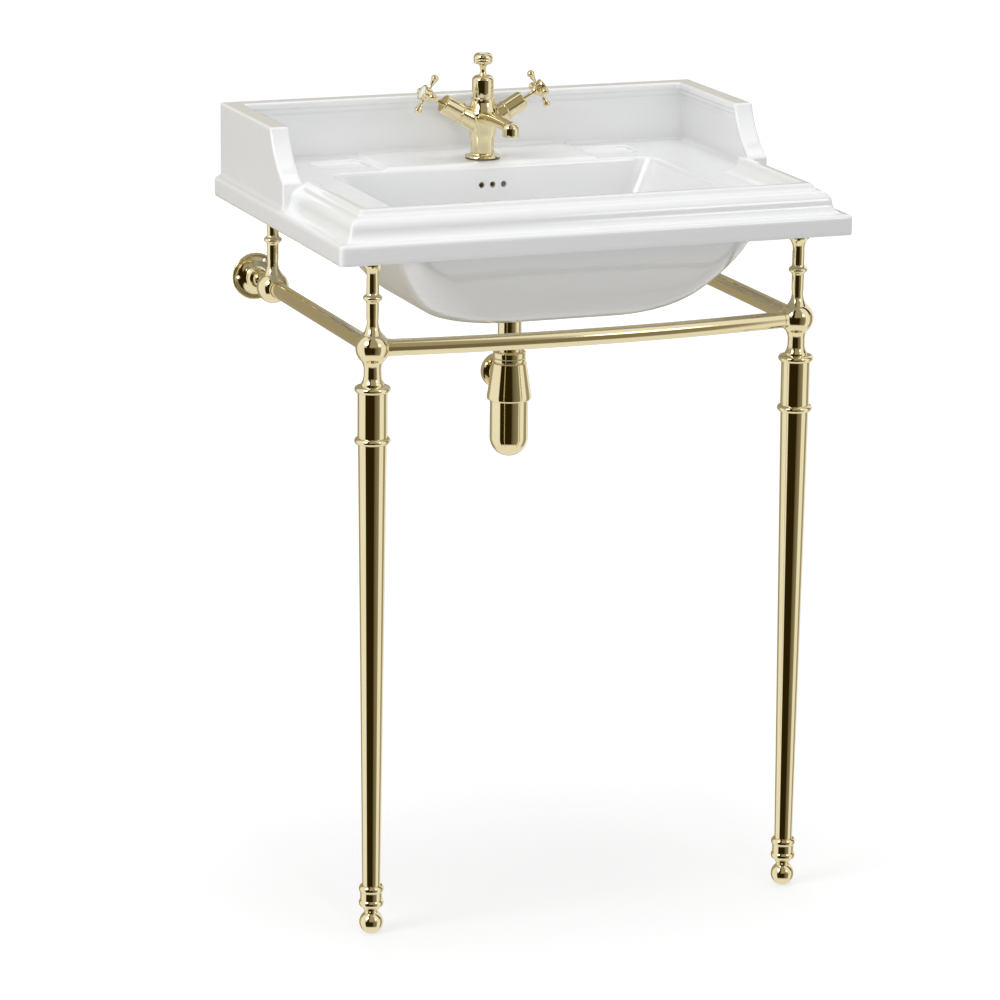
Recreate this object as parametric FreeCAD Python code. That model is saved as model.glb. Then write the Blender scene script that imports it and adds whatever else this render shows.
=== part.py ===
import FreeCAD, Part
import math
import os

# A ceramic console sink carried on two turned brass legs and fixed to the wall behind it, with a
# two-handle tap, a pop-up waste and a bottle trap. Millimetres. X runs to the right, Y to the wall
# and Z up. The origin is on the floor, below the middle of the basin.

# ---- basin ----
BASIN_WIDTH = 650.0
BASIN_DEPTH = 490.0
SLAB_UNDERSIDE = 828.0
SLAB_THICKNESS = 25.0
SLAB_EDGE_ROUND = 5.0
SLAB_CORNER_ROUND = 5.0
MOULDING_SETBACK = 9.0
OGEE_RUN = 26.0
OGEE_RISE = 27.0
RIM_STEP = 1.5
RIM_RISE = 4.0
RIM_ROUND = 3.0
RIM_WIDTH = 9.0
DECK_DROP = 17.0
COVE_RUN = 26.0
PLATFORM_HALF_WIDTH = 140.0
PLATFORM_RISE = 3.0
PLATFORM_CORNER = 10.0
SOAP_DISH_WIDTH = 64.0
SOAP_DISH_DEPTH = 56.0
SOAP_DISH_SINK = 4.0
SOAP_DISH_CORNER = 14.0
SOAP_DISH_GAP = 8.0

# ---- upstand: the low wall round the back and sides ----
UPSTAND_HEIGHT = 92.0
UPSTAND_SETBACK = 8.0
UPSTAND_TOP_WIDTH = 24.0
PANEL_THICKNESS = 12.0
FASCIA_HEIGHT = 8.0
OVOLO_HEIGHT = 9.5
BEAD_HEIGHT = 7.0
SIDE_WALL_LENGTH = 203.0
SWEEP_RUN = 50.0
SWEEP_FALL = 60.0
SWEEP_HOLLOW = 7.0
DECK_CORNER_RUN = 24.0

# ---- bowl ----
BOWL_HALF_WIDTH = 213.0
BOWL_FRONT_SETBACK = 58.0
BOWL_BACK_SETBACK = 125.0
BOWL_CORNER = 24.0
BOWL_EDGE_ROUND = 8.0
BOWL_DEPTH = 128.0
BOWL_FLOOR_HALF_WIDTH = 105.0
BOWL_FALL = 4.0
BOWL_WALL = 19.0
BOWL_BASE_THICKNESS = 18.0
OVERFLOW_RADIUS = 4.0
OVERFLOW_SPACING = 14.5
OVERFLOW_DROP = 25.0
DUCT_HALF_WIDTH = 22.0
DUCT_GAP = 9.0
DUCT_WALL = 8.0
DUCT_LEAN = 15.0
WASTE_SETBACK = 64.0
WASTE_HOLE_RADIUS = 22.0
WALL_RIB_HALF_WIDTH = 180.0
WALL_RIB_HEIGHT = 66.0
WALL_RIB_THICKNESS = 20.0
WALL_BOLT_SPACING = 280.0
WALL_BOLT_RADIUS = 7.0
POCKET_DEPTH = 22.0
POCKET_BORDER = 22.0
POCKET_CORNER = 12.0

# ---- stand ----
LEG_INSET = 53.0
FRONT_SETBACK = 40.0
REAR_SETBACK = 73.0
SPINDLE_RISE = 106.0
BALL_RADIUS = 20.3
RAIL_RADIUS = 10.0
RAIL_WALL = 1.5
RAIL_BOW = 21.0
BOSS_RADIUS = 10.5
BOSS_PROUD = 1.2
SPIGOT_LENGTH = 12.0
NECK_RADIUS = 10.6
NECK_LENGTH = 45.0
NECK_FOOT_RADIUS = 13.5
COLLAR_RADIUS = 21.4
COLLAR_HEIGHT = 8.0
COLUMN_RADIUS = 17.6
COLUMN_LENGTH = 54.0
LEG_TOP_RADIUS = 17.0
LEG_END_RADIUS = 10.9
LEG_BORE_RADIUS = 8.0
FOOT_HEIGHT = 60.0
FOOT_RING_RADIUS = 15.0
FOOT_BAND_RADIUS = 13.3
FOOT_NECK_RADIUS = 8.3
FOOT_BALL_RADIUS = 14.4
FOOT_FLAT_RADIUS = 5.0
SPINDLE_RADIUS = 7.4
SPINDLE_FOOT_RADIUS = 12.5
SPINDLE_BEAD_RADIUS = 11.5
SPINDLE_BEAD_HEIGHT = 60.0
SPINDLE_CAP_RADIUS = 13.0
SPINDLE_STUD_RADIUS = 4.0
SPINDLE_STUD_LENGTH = 10.0
PAD_THICKNESS = 4.0
PAD_RADIUS = 12.0
ROSE_RADIUS = 30.0
ROSE_RIM = 3.0
ROSE_HEIGHT = 16.0
ROSE_HUB_RADIUS = 13.0
ROSE_SCREW_CIRCLE = 46.0
ROSE_SCREW_RADIUS = 2.3
ROSE_SPIGOT_RADIUS = 6.0

# ---- waste, pop-up works and trap ----
WASTE_FLANGE_RADIUS = 31.5
WASTE_FLANGE_THICKNESS = 3.0
WASTE_TUBE_RADIUS = 19.5
WASTE_BORE_RADIUS = 17.0
WASHER_THICKNESS = 3.5
BACKNUT_HEIGHT = 6.5
BACKNUT_ACROSS_FLATS = 54.0
TEE_HEIGHT = 20.0
TEE_RADIUS = 20.5
PLUG_RADIUS = 22.0
PLUG_HEIGHT = 6.0
PLUG_STEM_RADIUS = 4.0
PLUG_LIFT = 4.3
PIVOT_BALL_RADIUS = 5.0
PIVOT_ROD_RADIUS = 2.25
PIVOT_OFFSET = 24.0
PIVOT_ROD_TAIL = 12.0
PIVOT_NUT_RADIUS = 9.0
PIVOT_NUT_LENGTH = 9.0
TAIL_RADIUS = 15.0
TAIL_WALL = 1.5
TAIL_SHOWN = 44.0
TRAP_INLET_NUT_HEIGHT = 13.0
TRAP_INLET_NUT_RADIUS = 20.7
TRAP_BODY_HEIGHT = 49.0
TRAP_BODY_TOP_RADIUS = 21.5
TRAP_BODY_FOOT_RADIUS = 28.0
TRAP_BOTTLE_RADIUS = 24.0
TRAP_BOTTLE_LENGTH = 86.0
TRAP_WALL = 2.0
TRAP_OVERLAP = 14.0
DIP_TUBE_LENGTH = 92.0
OUTLET_DROP = 20.0
OUTLET_REACH = 44.0
OUTLET_RADIUS = 16.0
OUTLET_SOCKET_LENGTH = 20.0
OUTLET_STOP = 3.0
OUTLET_NUT_RADIUS = 22.5
OUTLET_NUT_LENGTH = 13.0

# ---- tap ----
TAP_SETBACK = 87.0
TAP_HOLE_RADIUS = 17.5
TAP_FLANGE_RADIUS = 22.5
TAP_FLANGE_HEIGHT = 6.0
TAP_SEAL_THICKNESS = 1.2
TAP_WAIST_RADIUS = 14.6
TAP_SHOULDER_RADIUS = 20.0
TAP_BODY_HEIGHT = 74.0
SHANK_RADIUS = 14.0
SHANK_LENGTH = 52.0
SHANK_SOCKET_RADIUS = 4.5
SHANK_SOCKET_DEPTH = 12.0
SHANK_SOCKET_OFFSET = 8.4
TAIL_TUBE_RADIUS = 4.0
TAIL_TUBE_WALL = 0.8
TAIL_SPREAD = 30.0
TAIL_STRAIGHT = 34.0
TAIL_BEND = 14.0
TAP_NUT_HEIGHT = 8.0
TAP_NUT_ACROSS_FLATS = 36.0
TAP_WASHER_THICKNESS = 2.5
TAP_POCKET_DEPTH = 21.0
ARM_ANGLE = 29.5
ARM_CROSSING = 41.0
ARM_REACH = 33.5
ARM_RADIUS = 12.2
ARM_ROOT_RADIUS = 15.5
COVER_LENGTH = 28.0
COVER_RADIUS = 12.0
COVER_BEAD_RADIUS = 13.4
VALVE_SPINDLE_RADIUS = 2.8
HUB_DISTANCE = 86.2
HUB_RADIUS = 9.0
HUB_LENGTH = 15.0
HANDLE_REACH = 22.0
HANDLE_BALL_RADIUS = 4.9
HANDLE_ARM_RADIUS = 2.1
INDEX_RADIUS = 8.6
INDEX_THICKNESS = 2.4
SPOUT_REACH = 98.0
SPOUT_HEIGHT = 53.0
SPOUT_ROOT_WIDTH = 27.0
SPOUT_ROOT_HEIGHT = 17.0
NOZZLE_RADIUS = 10.5
NOZZLE_DROP = 15.0
DOME_RADIUS = 13.6
DOME_BASE_RADIUS = 15.0
DOME_HEIGHT = 30.0
KNOB_HEIGHT = 29.0
KNOB_RADIUS = 11.8
KNOB_NECK_RADIUS = 3.6
KNOB_CAP_RADIUS = 6.4
LIFT_ROD_RADIUS = 2.5
LIFT_TRAVEL = 14.0
STRAP_WIDTH = 11.0
STRAP_THICKNESS = 1.6
STRAP_BLOCK = 11.0
CLIP_THICKNESS = 0.7

# ---- fits ----
SLIP = 0.05
RUNNING = 0.08
THREAD_GAP = 0.1
REST_GAP = 0.3

# ---- places worked out from the sizes above ----
V = FreeCAD.Vector
UP = V(0, 0, 1)
MERGE = 0.001
TO_WALL = V(0, 1, 0)
SIDES = {"left": -1, "right": 1}
HALF_WIDTH = BASIN_WIDTH / 2
HALF_DEPTH = BASIN_DEPTH / 2
LEG_X = HALF_WIDTH - LEG_INSET
FRONT_Y = FRONT_SETBACK - HALF_DEPTH
REAR_Y = HALF_DEPTH - REAR_SETBACK
BOWL_FRONT_Y = BOWL_FRONT_SETBACK - HALF_DEPTH
BOWL_BACK_Y = HALF_DEPTH - BOWL_BACK_SETBACK
WASTE_Y = BOWL_BACK_Y - WASTE_SETBACK
TAP_Y = HALF_DEPTH - TAP_SETBACK
SWEEP_TOP_Y = HALF_DEPTH - SIDE_WALL_LENGTH
BALL_HEIGHT = SLAB_UNDERSIDE - SPINDLE_RISE
SLAB_TOP = SLAB_UNDERSIDE + SLAB_THICKNESS
RIM_HEIGHT = OGEE_RISE + RIM_RISE + RIM_ROUND
RIM_TOP = SLAB_TOP + RIM_HEIGHT
DECK_TOP = RIM_TOP - DECK_DROP
PLATFORM_TOP = DECK_TOP + PLATFORM_RISE
UPSTAND_TOP = SLAB_TOP + UPSTAND_HEIGHT
RIM_OUTSIDE = MOULDING_SETBACK + OGEE_RUN + RIM_STEP
RIM_INSIDE = RIM_OUTSIDE + RIM_ROUND + RIM_WIDTH
PANEL_INSIDE = UPSTAND_SETBACK + PANEL_THICKNESS
PANEL_Y = HALF_DEPTH - PANEL_THICKNESS
SWEEP_FOOT_Y = SWEEP_TOP_Y - SWEEP_RUN
BOWL_FLOOR = DECK_TOP - BOWL_DEPTH
WASTE_SEAT = BOWL_FLOOR - BOWL_FALL
BASIN_BOTTOM = WASTE_SEAT - BOWL_BASE_THICKNESS
OVERFLOW_HEIGHT = DECK_TOP - OVERFLOW_DROP
RAIL_BORE = RAIL_RADIUS - RAIL_WALL
BOSS_REACH = BALL_RADIUS + BOSS_PROUD
SPINDLE_BOTTOM = math.sqrt(BALL_RADIUS ** 2 - SPINDLE_FOOT_RADIUS ** 2)
SPINDLE_TOP = SLAB_UNDERSIDE - PAD_THICKNESS - BALL_HEIGHT
LEG_TOP = BALL_HEIGHT - NECK_LENGTH
NUT_TOP = BASIN_BOTTOM - WASHER_THICKNESS
TEE_TOP = NUT_TOP - BACKNUT_HEIGHT
TEE_BOTTOM = TEE_TOP - TEE_HEIGHT
PIVOT_Y = WASTE_Y + PIVOT_OFFSET
PIVOT_HEIGHT = TEE_TOP - TEE_HEIGHT / 2
STRAP_Y = TAP_Y + STRAP_BLOCK / 2 - STRAP_THICKNESS / 2
SEAL_TOP = PLATFORM_TOP + TAP_SEAL_THICKNESS
BODY_BOTTOM = SEAL_TOP + TAP_FLANGE_HEIGHT
BODY_TOP = PLATFORM_TOP + TAP_BODY_HEIGHT
DOME_TOP = BODY_TOP + DOME_HEIGHT
SHANK_BOTTOM = PLATFORM_TOP - SHANK_LENGTH
POCKET_TOP = SLAB_UNDERSIDE + TAP_POCKET_DEPTH
ARM_TURN = math.radians(ARM_ANGLE)
TRAP_INLET_TOP = TEE_BOTTOM - TAIL_SHOWN
TRAP_BODY_TOP = TRAP_INLET_TOP - TRAP_INLET_NUT_HEIGHT
OUTLET_HEIGHT = TRAP_BODY_TOP - OUTLET_DROP
TRAP_BODY_FOOT = TRAP_BODY_TOP - TRAP_BODY_HEIGHT
TRAP_BOTTLE_TOP = TRAP_BODY_FOOT + TRAP_OVERLAP
TRAP_BOTTLE_BOTTOM = TRAP_BOTTLE_TOP - TRAP_BOTTLE_LENGTH


# ---- drawing helpers ----
def outline(points, place):
    """A closed wire through (a, b) points; a third number bends the edge arriving there to its left."""
    edges = []
    for start, end in zip(points[-1:] + points[:-1], points):
        if math.hypot(end[0] - start[0], end[1] - start[1]) < 1e-6:
            continue
        if len(end) == 2:
            edges.append(Part.LineSegment(place(*start[:2]), place(*end)).toShape())
            continue
        length = math.hypot(end[0] - start[0], end[1] - start[1])
        a = (start[0] + end[0]) / 2 - (end[1] - start[1]) / length * end[2]
        b = (start[1] + end[1]) / 2 + (end[0] - start[0]) / length * end[2]
        edges.append(Part.Arc(place(*start[:2]), place(a, b), place(*end[:2])).toShape())
    return Part.Wire(edges)


def upright(solid):
    """The solid with its faces pointing outwards."""
    return solid.reversed() if solid.Volume < 0 else solid


def placed(shape, base, axis=UP):
    """The shape, drawn about the vertical through the origin, moved to base and turned to axis."""
    moved = shape.copy()
    moved.Placement = FreeCAD.Placement(base, FreeCAD.Rotation(UP, axis))
    return moved


def turned(points, bore=0.0, base=V(0, 0, 0), axis=UP):
    """A turned solid. points are (radius, height) from one end to the other, outside the bore."""
    ring = [(bore, points[0][1])] + points + [(bore, points[-1][1])]
    face = Part.Face(outline(ring, lambda r, h: V(r, 0, h)))
    return placed(upright(face.revolve(V(0, 0, 0), UP, 360)), base, axis)


def rod(radius, start, end, bore=0.0):
    """A round bar or tube from one point to another."""
    axis = end - start
    return turned([(radius, 0), (radius, axis.Length)], bore, start, axis)


def block(low, high):
    """A box between two corners."""
    return Part.makeBox(high[0] - low[0], high[1] - low[1], high[2] - low[2], V(*low))


def joined(shapes):
    """The shapes made one solid."""
    return shapes[0].multiFuse(shapes[1:]).removeSplitter()


def arc_rise(radius, start, end):
    """How far an arc of this radius stands off the straight line between two points."""
    half = math.dist(start, end) / 2
    return radius - math.sqrt(radius ** 2 - half ** 2)


def dome(radius, low, high):
    """The last two points of a turned piece that ends in a ball-shaped cap."""
    height = high - low
    ball = (radius ** 2 + height ** 2) / (2 * height)
    return [(radius, low), (0, high, -arc_rise(ball, (radius, low), (0, high)))]


def rounded_wire(half_width, front, back, corner, z):
    """A rounded rectangle, even about the YZ plane, at height z."""
    reach = corner * (1 - math.sqrt(0.5))
    corners = [(half_width, front), (half_width, back), (-half_width, back), (-half_width, front)]
    inward = [(-1, 1), (-1, -1), (1, -1), (1, 1)]
    edges = []
    for i, ((x, y), (dx, dy)) in enumerate(zip(corners, inward)):
        along_x, along_y = V(x + dx * corner, y, z), V(x, y + dy * corner, z)
        start, end = (along_x, along_y) if i % 2 == 0 else (along_y, along_x)
        edges.append(Part.Arc(start, V(x + dx * reach, y + dy * reach, z), end).toShape())
        nx, ny = corners[(i + 1) % 4]
        ndx, ndy = inward[(i + 1) % 4]
        after = V(nx, ny + ndy * corner, z) if i % 2 == 0 else V(nx + ndx * corner, ny, z)
        edges.append(Part.LineSegment(end, after).toShape())
    return Part.Wire(edges)


def rounded_block(half_width, front, back, corner, low, high):
    """An upright prism on a rounded rectangle."""
    return Part.Face(rounded_wire(half_width, front, back, corner, low)).extrude(V(0, 0, high - low))


def hexagon_nut(across_flats, height, bore, base):
    """A six-sided nut with a plain bore, standing on base."""
    radius = across_flats / math.sqrt(3)
    corners = [(radius * math.cos(math.pi * k / 3), radius * math.sin(math.pi * k / 3)) for k in range(6)]
    prism = Part.Face(outline(corners, lambda a, b: V(a, b, 0))).extrude(V(0, 0, height))
    trim = across_flats / 2 - height * 0.1
    dome = turned([(trim, 0), (radius, height * 0.3), (radius, height * 0.7), (trim, height)], bore)
    return placed(prism.common(dome), base)


# ---- basin ----
def edge_strip(points, edge):
    """The profile (distance in from the slab's edge, height over its top) run along one edge."""
    if edge == "front":
        face = Part.Face(outline(points, lambda s, h: V(-BASIN_WIDTH, s - HALF_DEPTH, SLAB_TOP + h)))
        return upright(face.extrude(V(2 * BASIN_WIDTH, 0, 0)))
    side = SIDES[edge]
    face = Part.Face(outline(points, lambda s, h: V(side * (HALF_WIDTH - s), -BASIN_DEPTH, SLAB_TOP + h)))
    return upright(face.extrude(V(0, 2 * BASIN_DEPTH, 0)))


def mitred(points):
    """The profile run round the front and both sides, mitred at the front corners."""
    strips = [edge_strip(points, edge) for edge in ("left", "right", "front")]
    return strips[0].common(strips[1]).common(strips[2])


def slab_and_rim():
    """Slab, ogee moulding and rim as one block, before the deck is sunk into it."""
    ogee_mid_run, ogee_mid_rise = OGEE_RUN * 0.38, OGEE_RISE * 0.5
    ogee_foot = MOULDING_SETBACK + ogee_mid_run
    far = BASIN_WIDTH
    profile = [
        (far, -SLAB_THICKNESS),
        (0, -SLAB_THICKNESS),
        (0, -SLAB_EDGE_ROUND),
        (SLAB_EDGE_ROUND, 0, SLAB_EDGE_ROUND * 0.207 * math.sqrt(2)),
        (MOULDING_SETBACK, 0),
        (ogee_foot, ogee_mid_rise, -ogee_mid_rise * 0.24),
        (MOULDING_SETBACK + OGEE_RUN, OGEE_RISE, OGEE_RISE * 0.15),
        (RIM_OUTSIDE, OGEE_RISE + RIM_RISE),
        (RIM_OUTSIDE + RIM_ROUND, RIM_HEIGHT, RIM_ROUND * 0.207 * math.sqrt(2)),
        (far, RIM_HEIGHT),
    ]
    plan = rounded_block(
        HALF_WIDTH, -HALF_DEPTH, HALF_DEPTH + BASIN_DEPTH, SLAB_CORNER_ROUND, SLAB_UNDERSIDE, RIM_TOP
    )
    behind = block((-BASIN_WIDTH, HALF_DEPTH, SLAB_UNDERSIDE), (BASIN_WIDTH, 4 * HALF_DEPTH, RIM_TOP))
    return mitred(profile).common(plan).cut(behind)


def recess_profile(inside, cove):
    """The hollow inside an edge: down from over the rim, round a cove and out along the deck."""
    deck, far = RIM_HEIGHT - DECK_DROP, BASIN_WIDTH
    lip = deck + min(cove, DECK_DROP) * 0.62
    return [(inside, RIM_HEIGHT + 1), (inside, lip), (inside + cove, deck, -cove * 0.13), (far, deck),
            (far, RIM_HEIGHT + 1)]


def deck_hollow():
    """What is sunk inside the rim, and behind it out to the upstand's panels."""
    front_part = mitred(recess_profile(RIM_INSIDE, COVE_RUN))
    front_part = front_part.cut(block((-BASIN_WIDTH, PANEL_Y, 0), (BASIN_WIDTH, 4 * HALF_DEPTH, UPSTAND_TOP)))
    wide = recess_profile(PANEL_INSIDE, PANEL_THICKNESS / 2)
    back_part = edge_strip(wide, "left").common(edge_strip(wide, "right"))
    outer, inner = HALF_WIDTH - PANEL_INSIDE, HALF_WIDTH - RIM_INSIDE
    start = SWEEP_FOOT_Y
    plan = [(inner, start), (outer, start + DECK_CORNER_RUN), (outer, PANEL_Y), (-outer, PANEL_Y),
            (-outer, start + DECK_CORNER_RUN), (-inner, start)]
    prism = Part.Face(outline(plan, lambda x, y: V(x, y, SLAB_UNDERSIDE))).extrude(V(0, 0, 2 * UPSTAND_HEIGHT))
    return front_part.fuse(back_part.common(prism))


def upstand_profile():
    """Section of the upstand: (distance in from its outer face, depth below its top)."""
    ovolo = FASCIA_HEIGHT + OVOLO_HEIGHT
    foot = ovolo + BEAD_HEIGHT
    step = (UPSTAND_TOP_WIDTH - PANEL_THICKNESS) / 8
    return [
        (0, 0), (UPSTAND_TOP_WIDTH, 0), (UPSTAND_TOP_WIDTH, FASCIA_HEIGHT),
        (UPSTAND_TOP_WIDTH - 3 * step, FASCIA_HEIGHT + step),
        (PANEL_THICKNESS + 2 * step, ovolo, -OVOLO_HEIGHT * 0.16),
        (PANEL_THICKNESS + step, ovolo + step),
        (PANEL_THICKNESS + step / 2, foot - step / 2, -BEAD_HEIGHT * 0.12),
        (PANEL_THICKNESS, foot),
    ]


def upstand_side(side):
    """One side wall: level along the top, then swept down in a hollow curve to the rim."""
    outer = side * (HALF_WIDTH - UPSTAND_SETBACK)
    chord = math.hypot(SWEEP_RUN, SWEEP_FALL)
    radius = (chord ** 2 / 4 + SWEEP_HOLLOW ** 2) / (2 * SWEEP_HOLLOW)
    silhouette = [
        (HALF_DEPTH, UPSTAND_TOP), (SWEEP_TOP_Y, UPSTAND_TOP),
        (SWEEP_FOOT_Y, UPSTAND_TOP - SWEEP_FALL, SWEEP_HOLLOW), (SWEEP_FOOT_Y, SLAB_TOP), (HALF_DEPTH, SLAB_TOP),
    ]
    slice_face = Part.Face(outline(silhouette, lambda y, z: V(outer, y, z)))
    prism = upright(slice_face.extrude(V(-side * UPSTAND_TOP_WIDTH, 0, 0)))
    wall = upstand_profile() + [(PANEL_THICKNESS, UPSTAND_HEIGHT), (0, UPSTAND_HEIGHT)]
    level = Part.Face(outline(wall, lambda d, e: V(outer - side * d, SWEEP_FOOT_Y, UPSTAND_TOP - e)))
    level = upright(level.extrude(V(0, HALF_DEPTH - SWEEP_FOOT_Y, 0)))
    away = (radius - SWEEP_HOLLOW) / chord
    centre_y = (SWEEP_TOP_Y + SWEEP_FOOT_Y) / 2 - SWEEP_FALL * away
    centre_z = UPSTAND_TOP - SWEEP_FALL / 2 + SWEEP_RUN * away
    band = upstand_profile() + [(PANEL_THICKNESS, 2 * UPSTAND_TOP_WIDTH), (0, 2 * UPSTAND_TOP_WIDTH)]
    swept = Part.Face(outline(band, lambda d, e: V(outer - side * d, centre_y, centre_z - radius - e)))
    swept = swept.revolve(V(0, centre_y, centre_z), V(1, 0, 0), 100)
    return prism.common(level).multiFuse([prism.common(upright(swept))], MERGE)


def upstand():
    """Back wall and two side walls in one piece."""
    half = HALF_WIDTH - UPSTAND_SETBACK
    wall = upstand_profile() + [(PANEL_THICKNESS, UPSTAND_HEIGHT), (0, UPSTAND_HEIGHT)]
    back = Part.Face(outline(wall, lambda d, e: V(-half, HALF_DEPTH - d, UPSTAND_TOP - e)))
    return [upright(back.extrude(V(2 * half, 0, 0)))] + [upstand_side(side) for side in SIDES.values()]


def bowl_section(fall, grow, z):
    """The bowl's rounded plan. fall is 0 at its mouth and 1 at its floor; grow widens it all round."""
    half_width = BOWL_HALF_WIDTH + (BOWL_FLOOR_HALF_WIDTH - BOWL_HALF_WIDTH) * fall + grow
    front = BOWL_FRONT_Y + (WASTE_Y - BOWL_FLOOR_HALF_WIDTH - 40 - BOWL_FRONT_Y) * fall - grow
    back = BOWL_BACK_Y + (WASTE_Y + WASTE_FLANGE_RADIUS + 8 - BOWL_BACK_Y) * fall + grow
    return rounded_wire(half_width, front, back, BOWL_CORNER * (1 + 1.1 * fall) + grow, z)


def bowl_loft(grow, top, bottom):
    """A bowl shape that leans in more and more towards its floor."""
    falls = [(0.0, 0.0), (0.22, 0.11), (0.44, 0.24), (0.63, 0.38), (0.79, 0.53), (0.9, 0.68), (0.97, 0.83), (1.0, 1.0)]
    wires = [bowl_section(fall, grow, top + (bottom - top) * deep) for deep, fall in falls]
    return Part.makeLoft(wires, True, False)


def bowl_mouth():
    """The rounded edge where deck and bowl meet."""
    steps = 4
    wires = []
    for k in range(steps + 1):
        turn = math.pi / 2 * k / steps
        grow = BOWL_EDGE_ROUND * (1 - math.cos(turn))
        wires.append(bowl_section(0, grow, PLATFORM_TOP - BOWL_EDGE_ROUND * (1 - math.sin(turn))))
    mouth = Part.makeLoft(wires, True, True)
    over = Part.Face(wires[-1]).extrude(V(0, 0, DECK_DROP))
    return mouth.fuse(over)


def bowl_cavity():
    """Everything hollow in the bowl, down to the waste hole."""
    top = PLATFORM_TOP - BOWL_EDGE_ROUND
    main = bowl_loft(0, top, BOWL_FLOOR)
    seat = WASTE_FLANGE_RADIUS + SLIP
    drain = rounded_wire(seat, WASTE_Y - seat, WASTE_Y + seat, seat * 0.98, WASTE_SEAT)
    fall = Part.makeLoft([bowl_section(1, 0, BOWL_FLOOR), drain], True, True)
    sump = rod(seat, V(0, WASTE_Y, WASTE_SEAT - WASTE_FLANGE_THICKNESS), V(0, WASTE_Y, WASTE_SEAT + 1))
    hole = rod(WASTE_HOLE_RADIUS, V(0, WASTE_Y, BASIN_BOTTOM - 1), V(0, WASTE_Y, WASTE_SEAT))
    return [main, bowl_mouth(), fall, sump, hole]


def duct(grow, top, bottom):
    """The overflow duct behind the bowl, leaning in to the waste."""
    wires = []
    for z in (top, bottom):
        front = BOWL_BACK_Y + DUCT_WALL - DUCT_LEAN * (OVERFLOW_HEIGHT - z) / (OVERFLOW_HEIGHT - BASIN_BOTTOM)
        back = front + DUCT_GAP
        half = DUCT_HALF_WIDTH + grow
        corners = [(-half, front - grow), (half, front - grow), (half, back + grow), (-half, back + grow)]
        wires.append(outline(corners, lambda x, y, z=z: V(x, y, z)))
    return Part.makeLoft(wires, True, True)


def overflow_holes():
    """Three round holes from the bowl to the duct, and the slot that lets the duct into the waste."""
    holes = []
    for k in (-1, 0, 1):
        x = k * OVERFLOW_SPACING
        start = V(x, BOWL_BACK_Y - 4 * OVERFLOW_RADIUS, OVERFLOW_HEIGHT)
        holes.append(rod(OVERFLOW_RADIUS, start, V(x, BOWL_BACK_Y + DUCT_WALL + DUCT_GAP / 2, OVERFLOW_HEIGHT)))
    low = BASIN_BOTTOM + DUCT_WALL / 2
    slot = block((-DUCT_HALF_WIDTH / 2, WASTE_Y, low),
                 (DUCT_HALF_WIDTH / 2, BOWL_BACK_Y + DUCT_WALL - DUCT_LEAN + DUCT_GAP / 2, low + DUCT_WALL / 2))
    return holes + [slot]


def underside_pockets():
    """Four hollows moulded into the slab's underside, clear of the legs' seats."""
    pockets = []
    outer = HALF_WIDTH - POCKET_BORDER
    inner = BOWL_HALF_WIDTH + BOWL_WALL + POCKET_BORDER / 2
    for side in SIDES.values():
        half = (outer - inner) / 2
        pocket = rounded_block(half, FRONT_Y + POCKET_BORDER, REAR_Y - POCKET_BORDER, POCKET_CORNER,
                               SLAB_UNDERSIDE - 1, SLAB_UNDERSIDE + POCKET_DEPTH)
        pocket.translate(V(side * (outer + inner) / 2, 0, 0))
        pockets.append(pocket)
        half = (inner - TAP_NUT_ACROSS_FLATS - 2 * POCKET_BORDER) / 2
        pocket = rounded_block(half, BOWL_BACK_Y + 2 * BOWL_WALL, HALF_DEPTH - 2 * POCKET_BORDER, POCKET_CORNER,
                               SLAB_UNDERSIDE - 1, SLAB_UNDERSIDE + POCKET_DEPTH)
        pocket.translate(V(side * (TAP_NUT_ACROSS_FLATS + POCKET_BORDER + half), 0, 0))
        pockets.append(pocket)
    return pockets


def soap_dish(side):
    """A shallow dish sunk in the deck beside the tap platform."""
    centre = side * (PLATFORM_HALF_WIDTH + SOAP_DISH_GAP + SOAP_DISH_WIDTH / 2)
    back = PANEL_Y - UPSTAND_TOP_WIDTH
    dish = rounded_block(SOAP_DISH_WIDTH / 2, back - SOAP_DISH_DEPTH, back, SOAP_DISH_CORNER,
                         DECK_TOP - SOAP_DISH_SINK, PLATFORM_TOP + 1)
    dish.translate(V(centre, 0, 0))
    return dish


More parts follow.
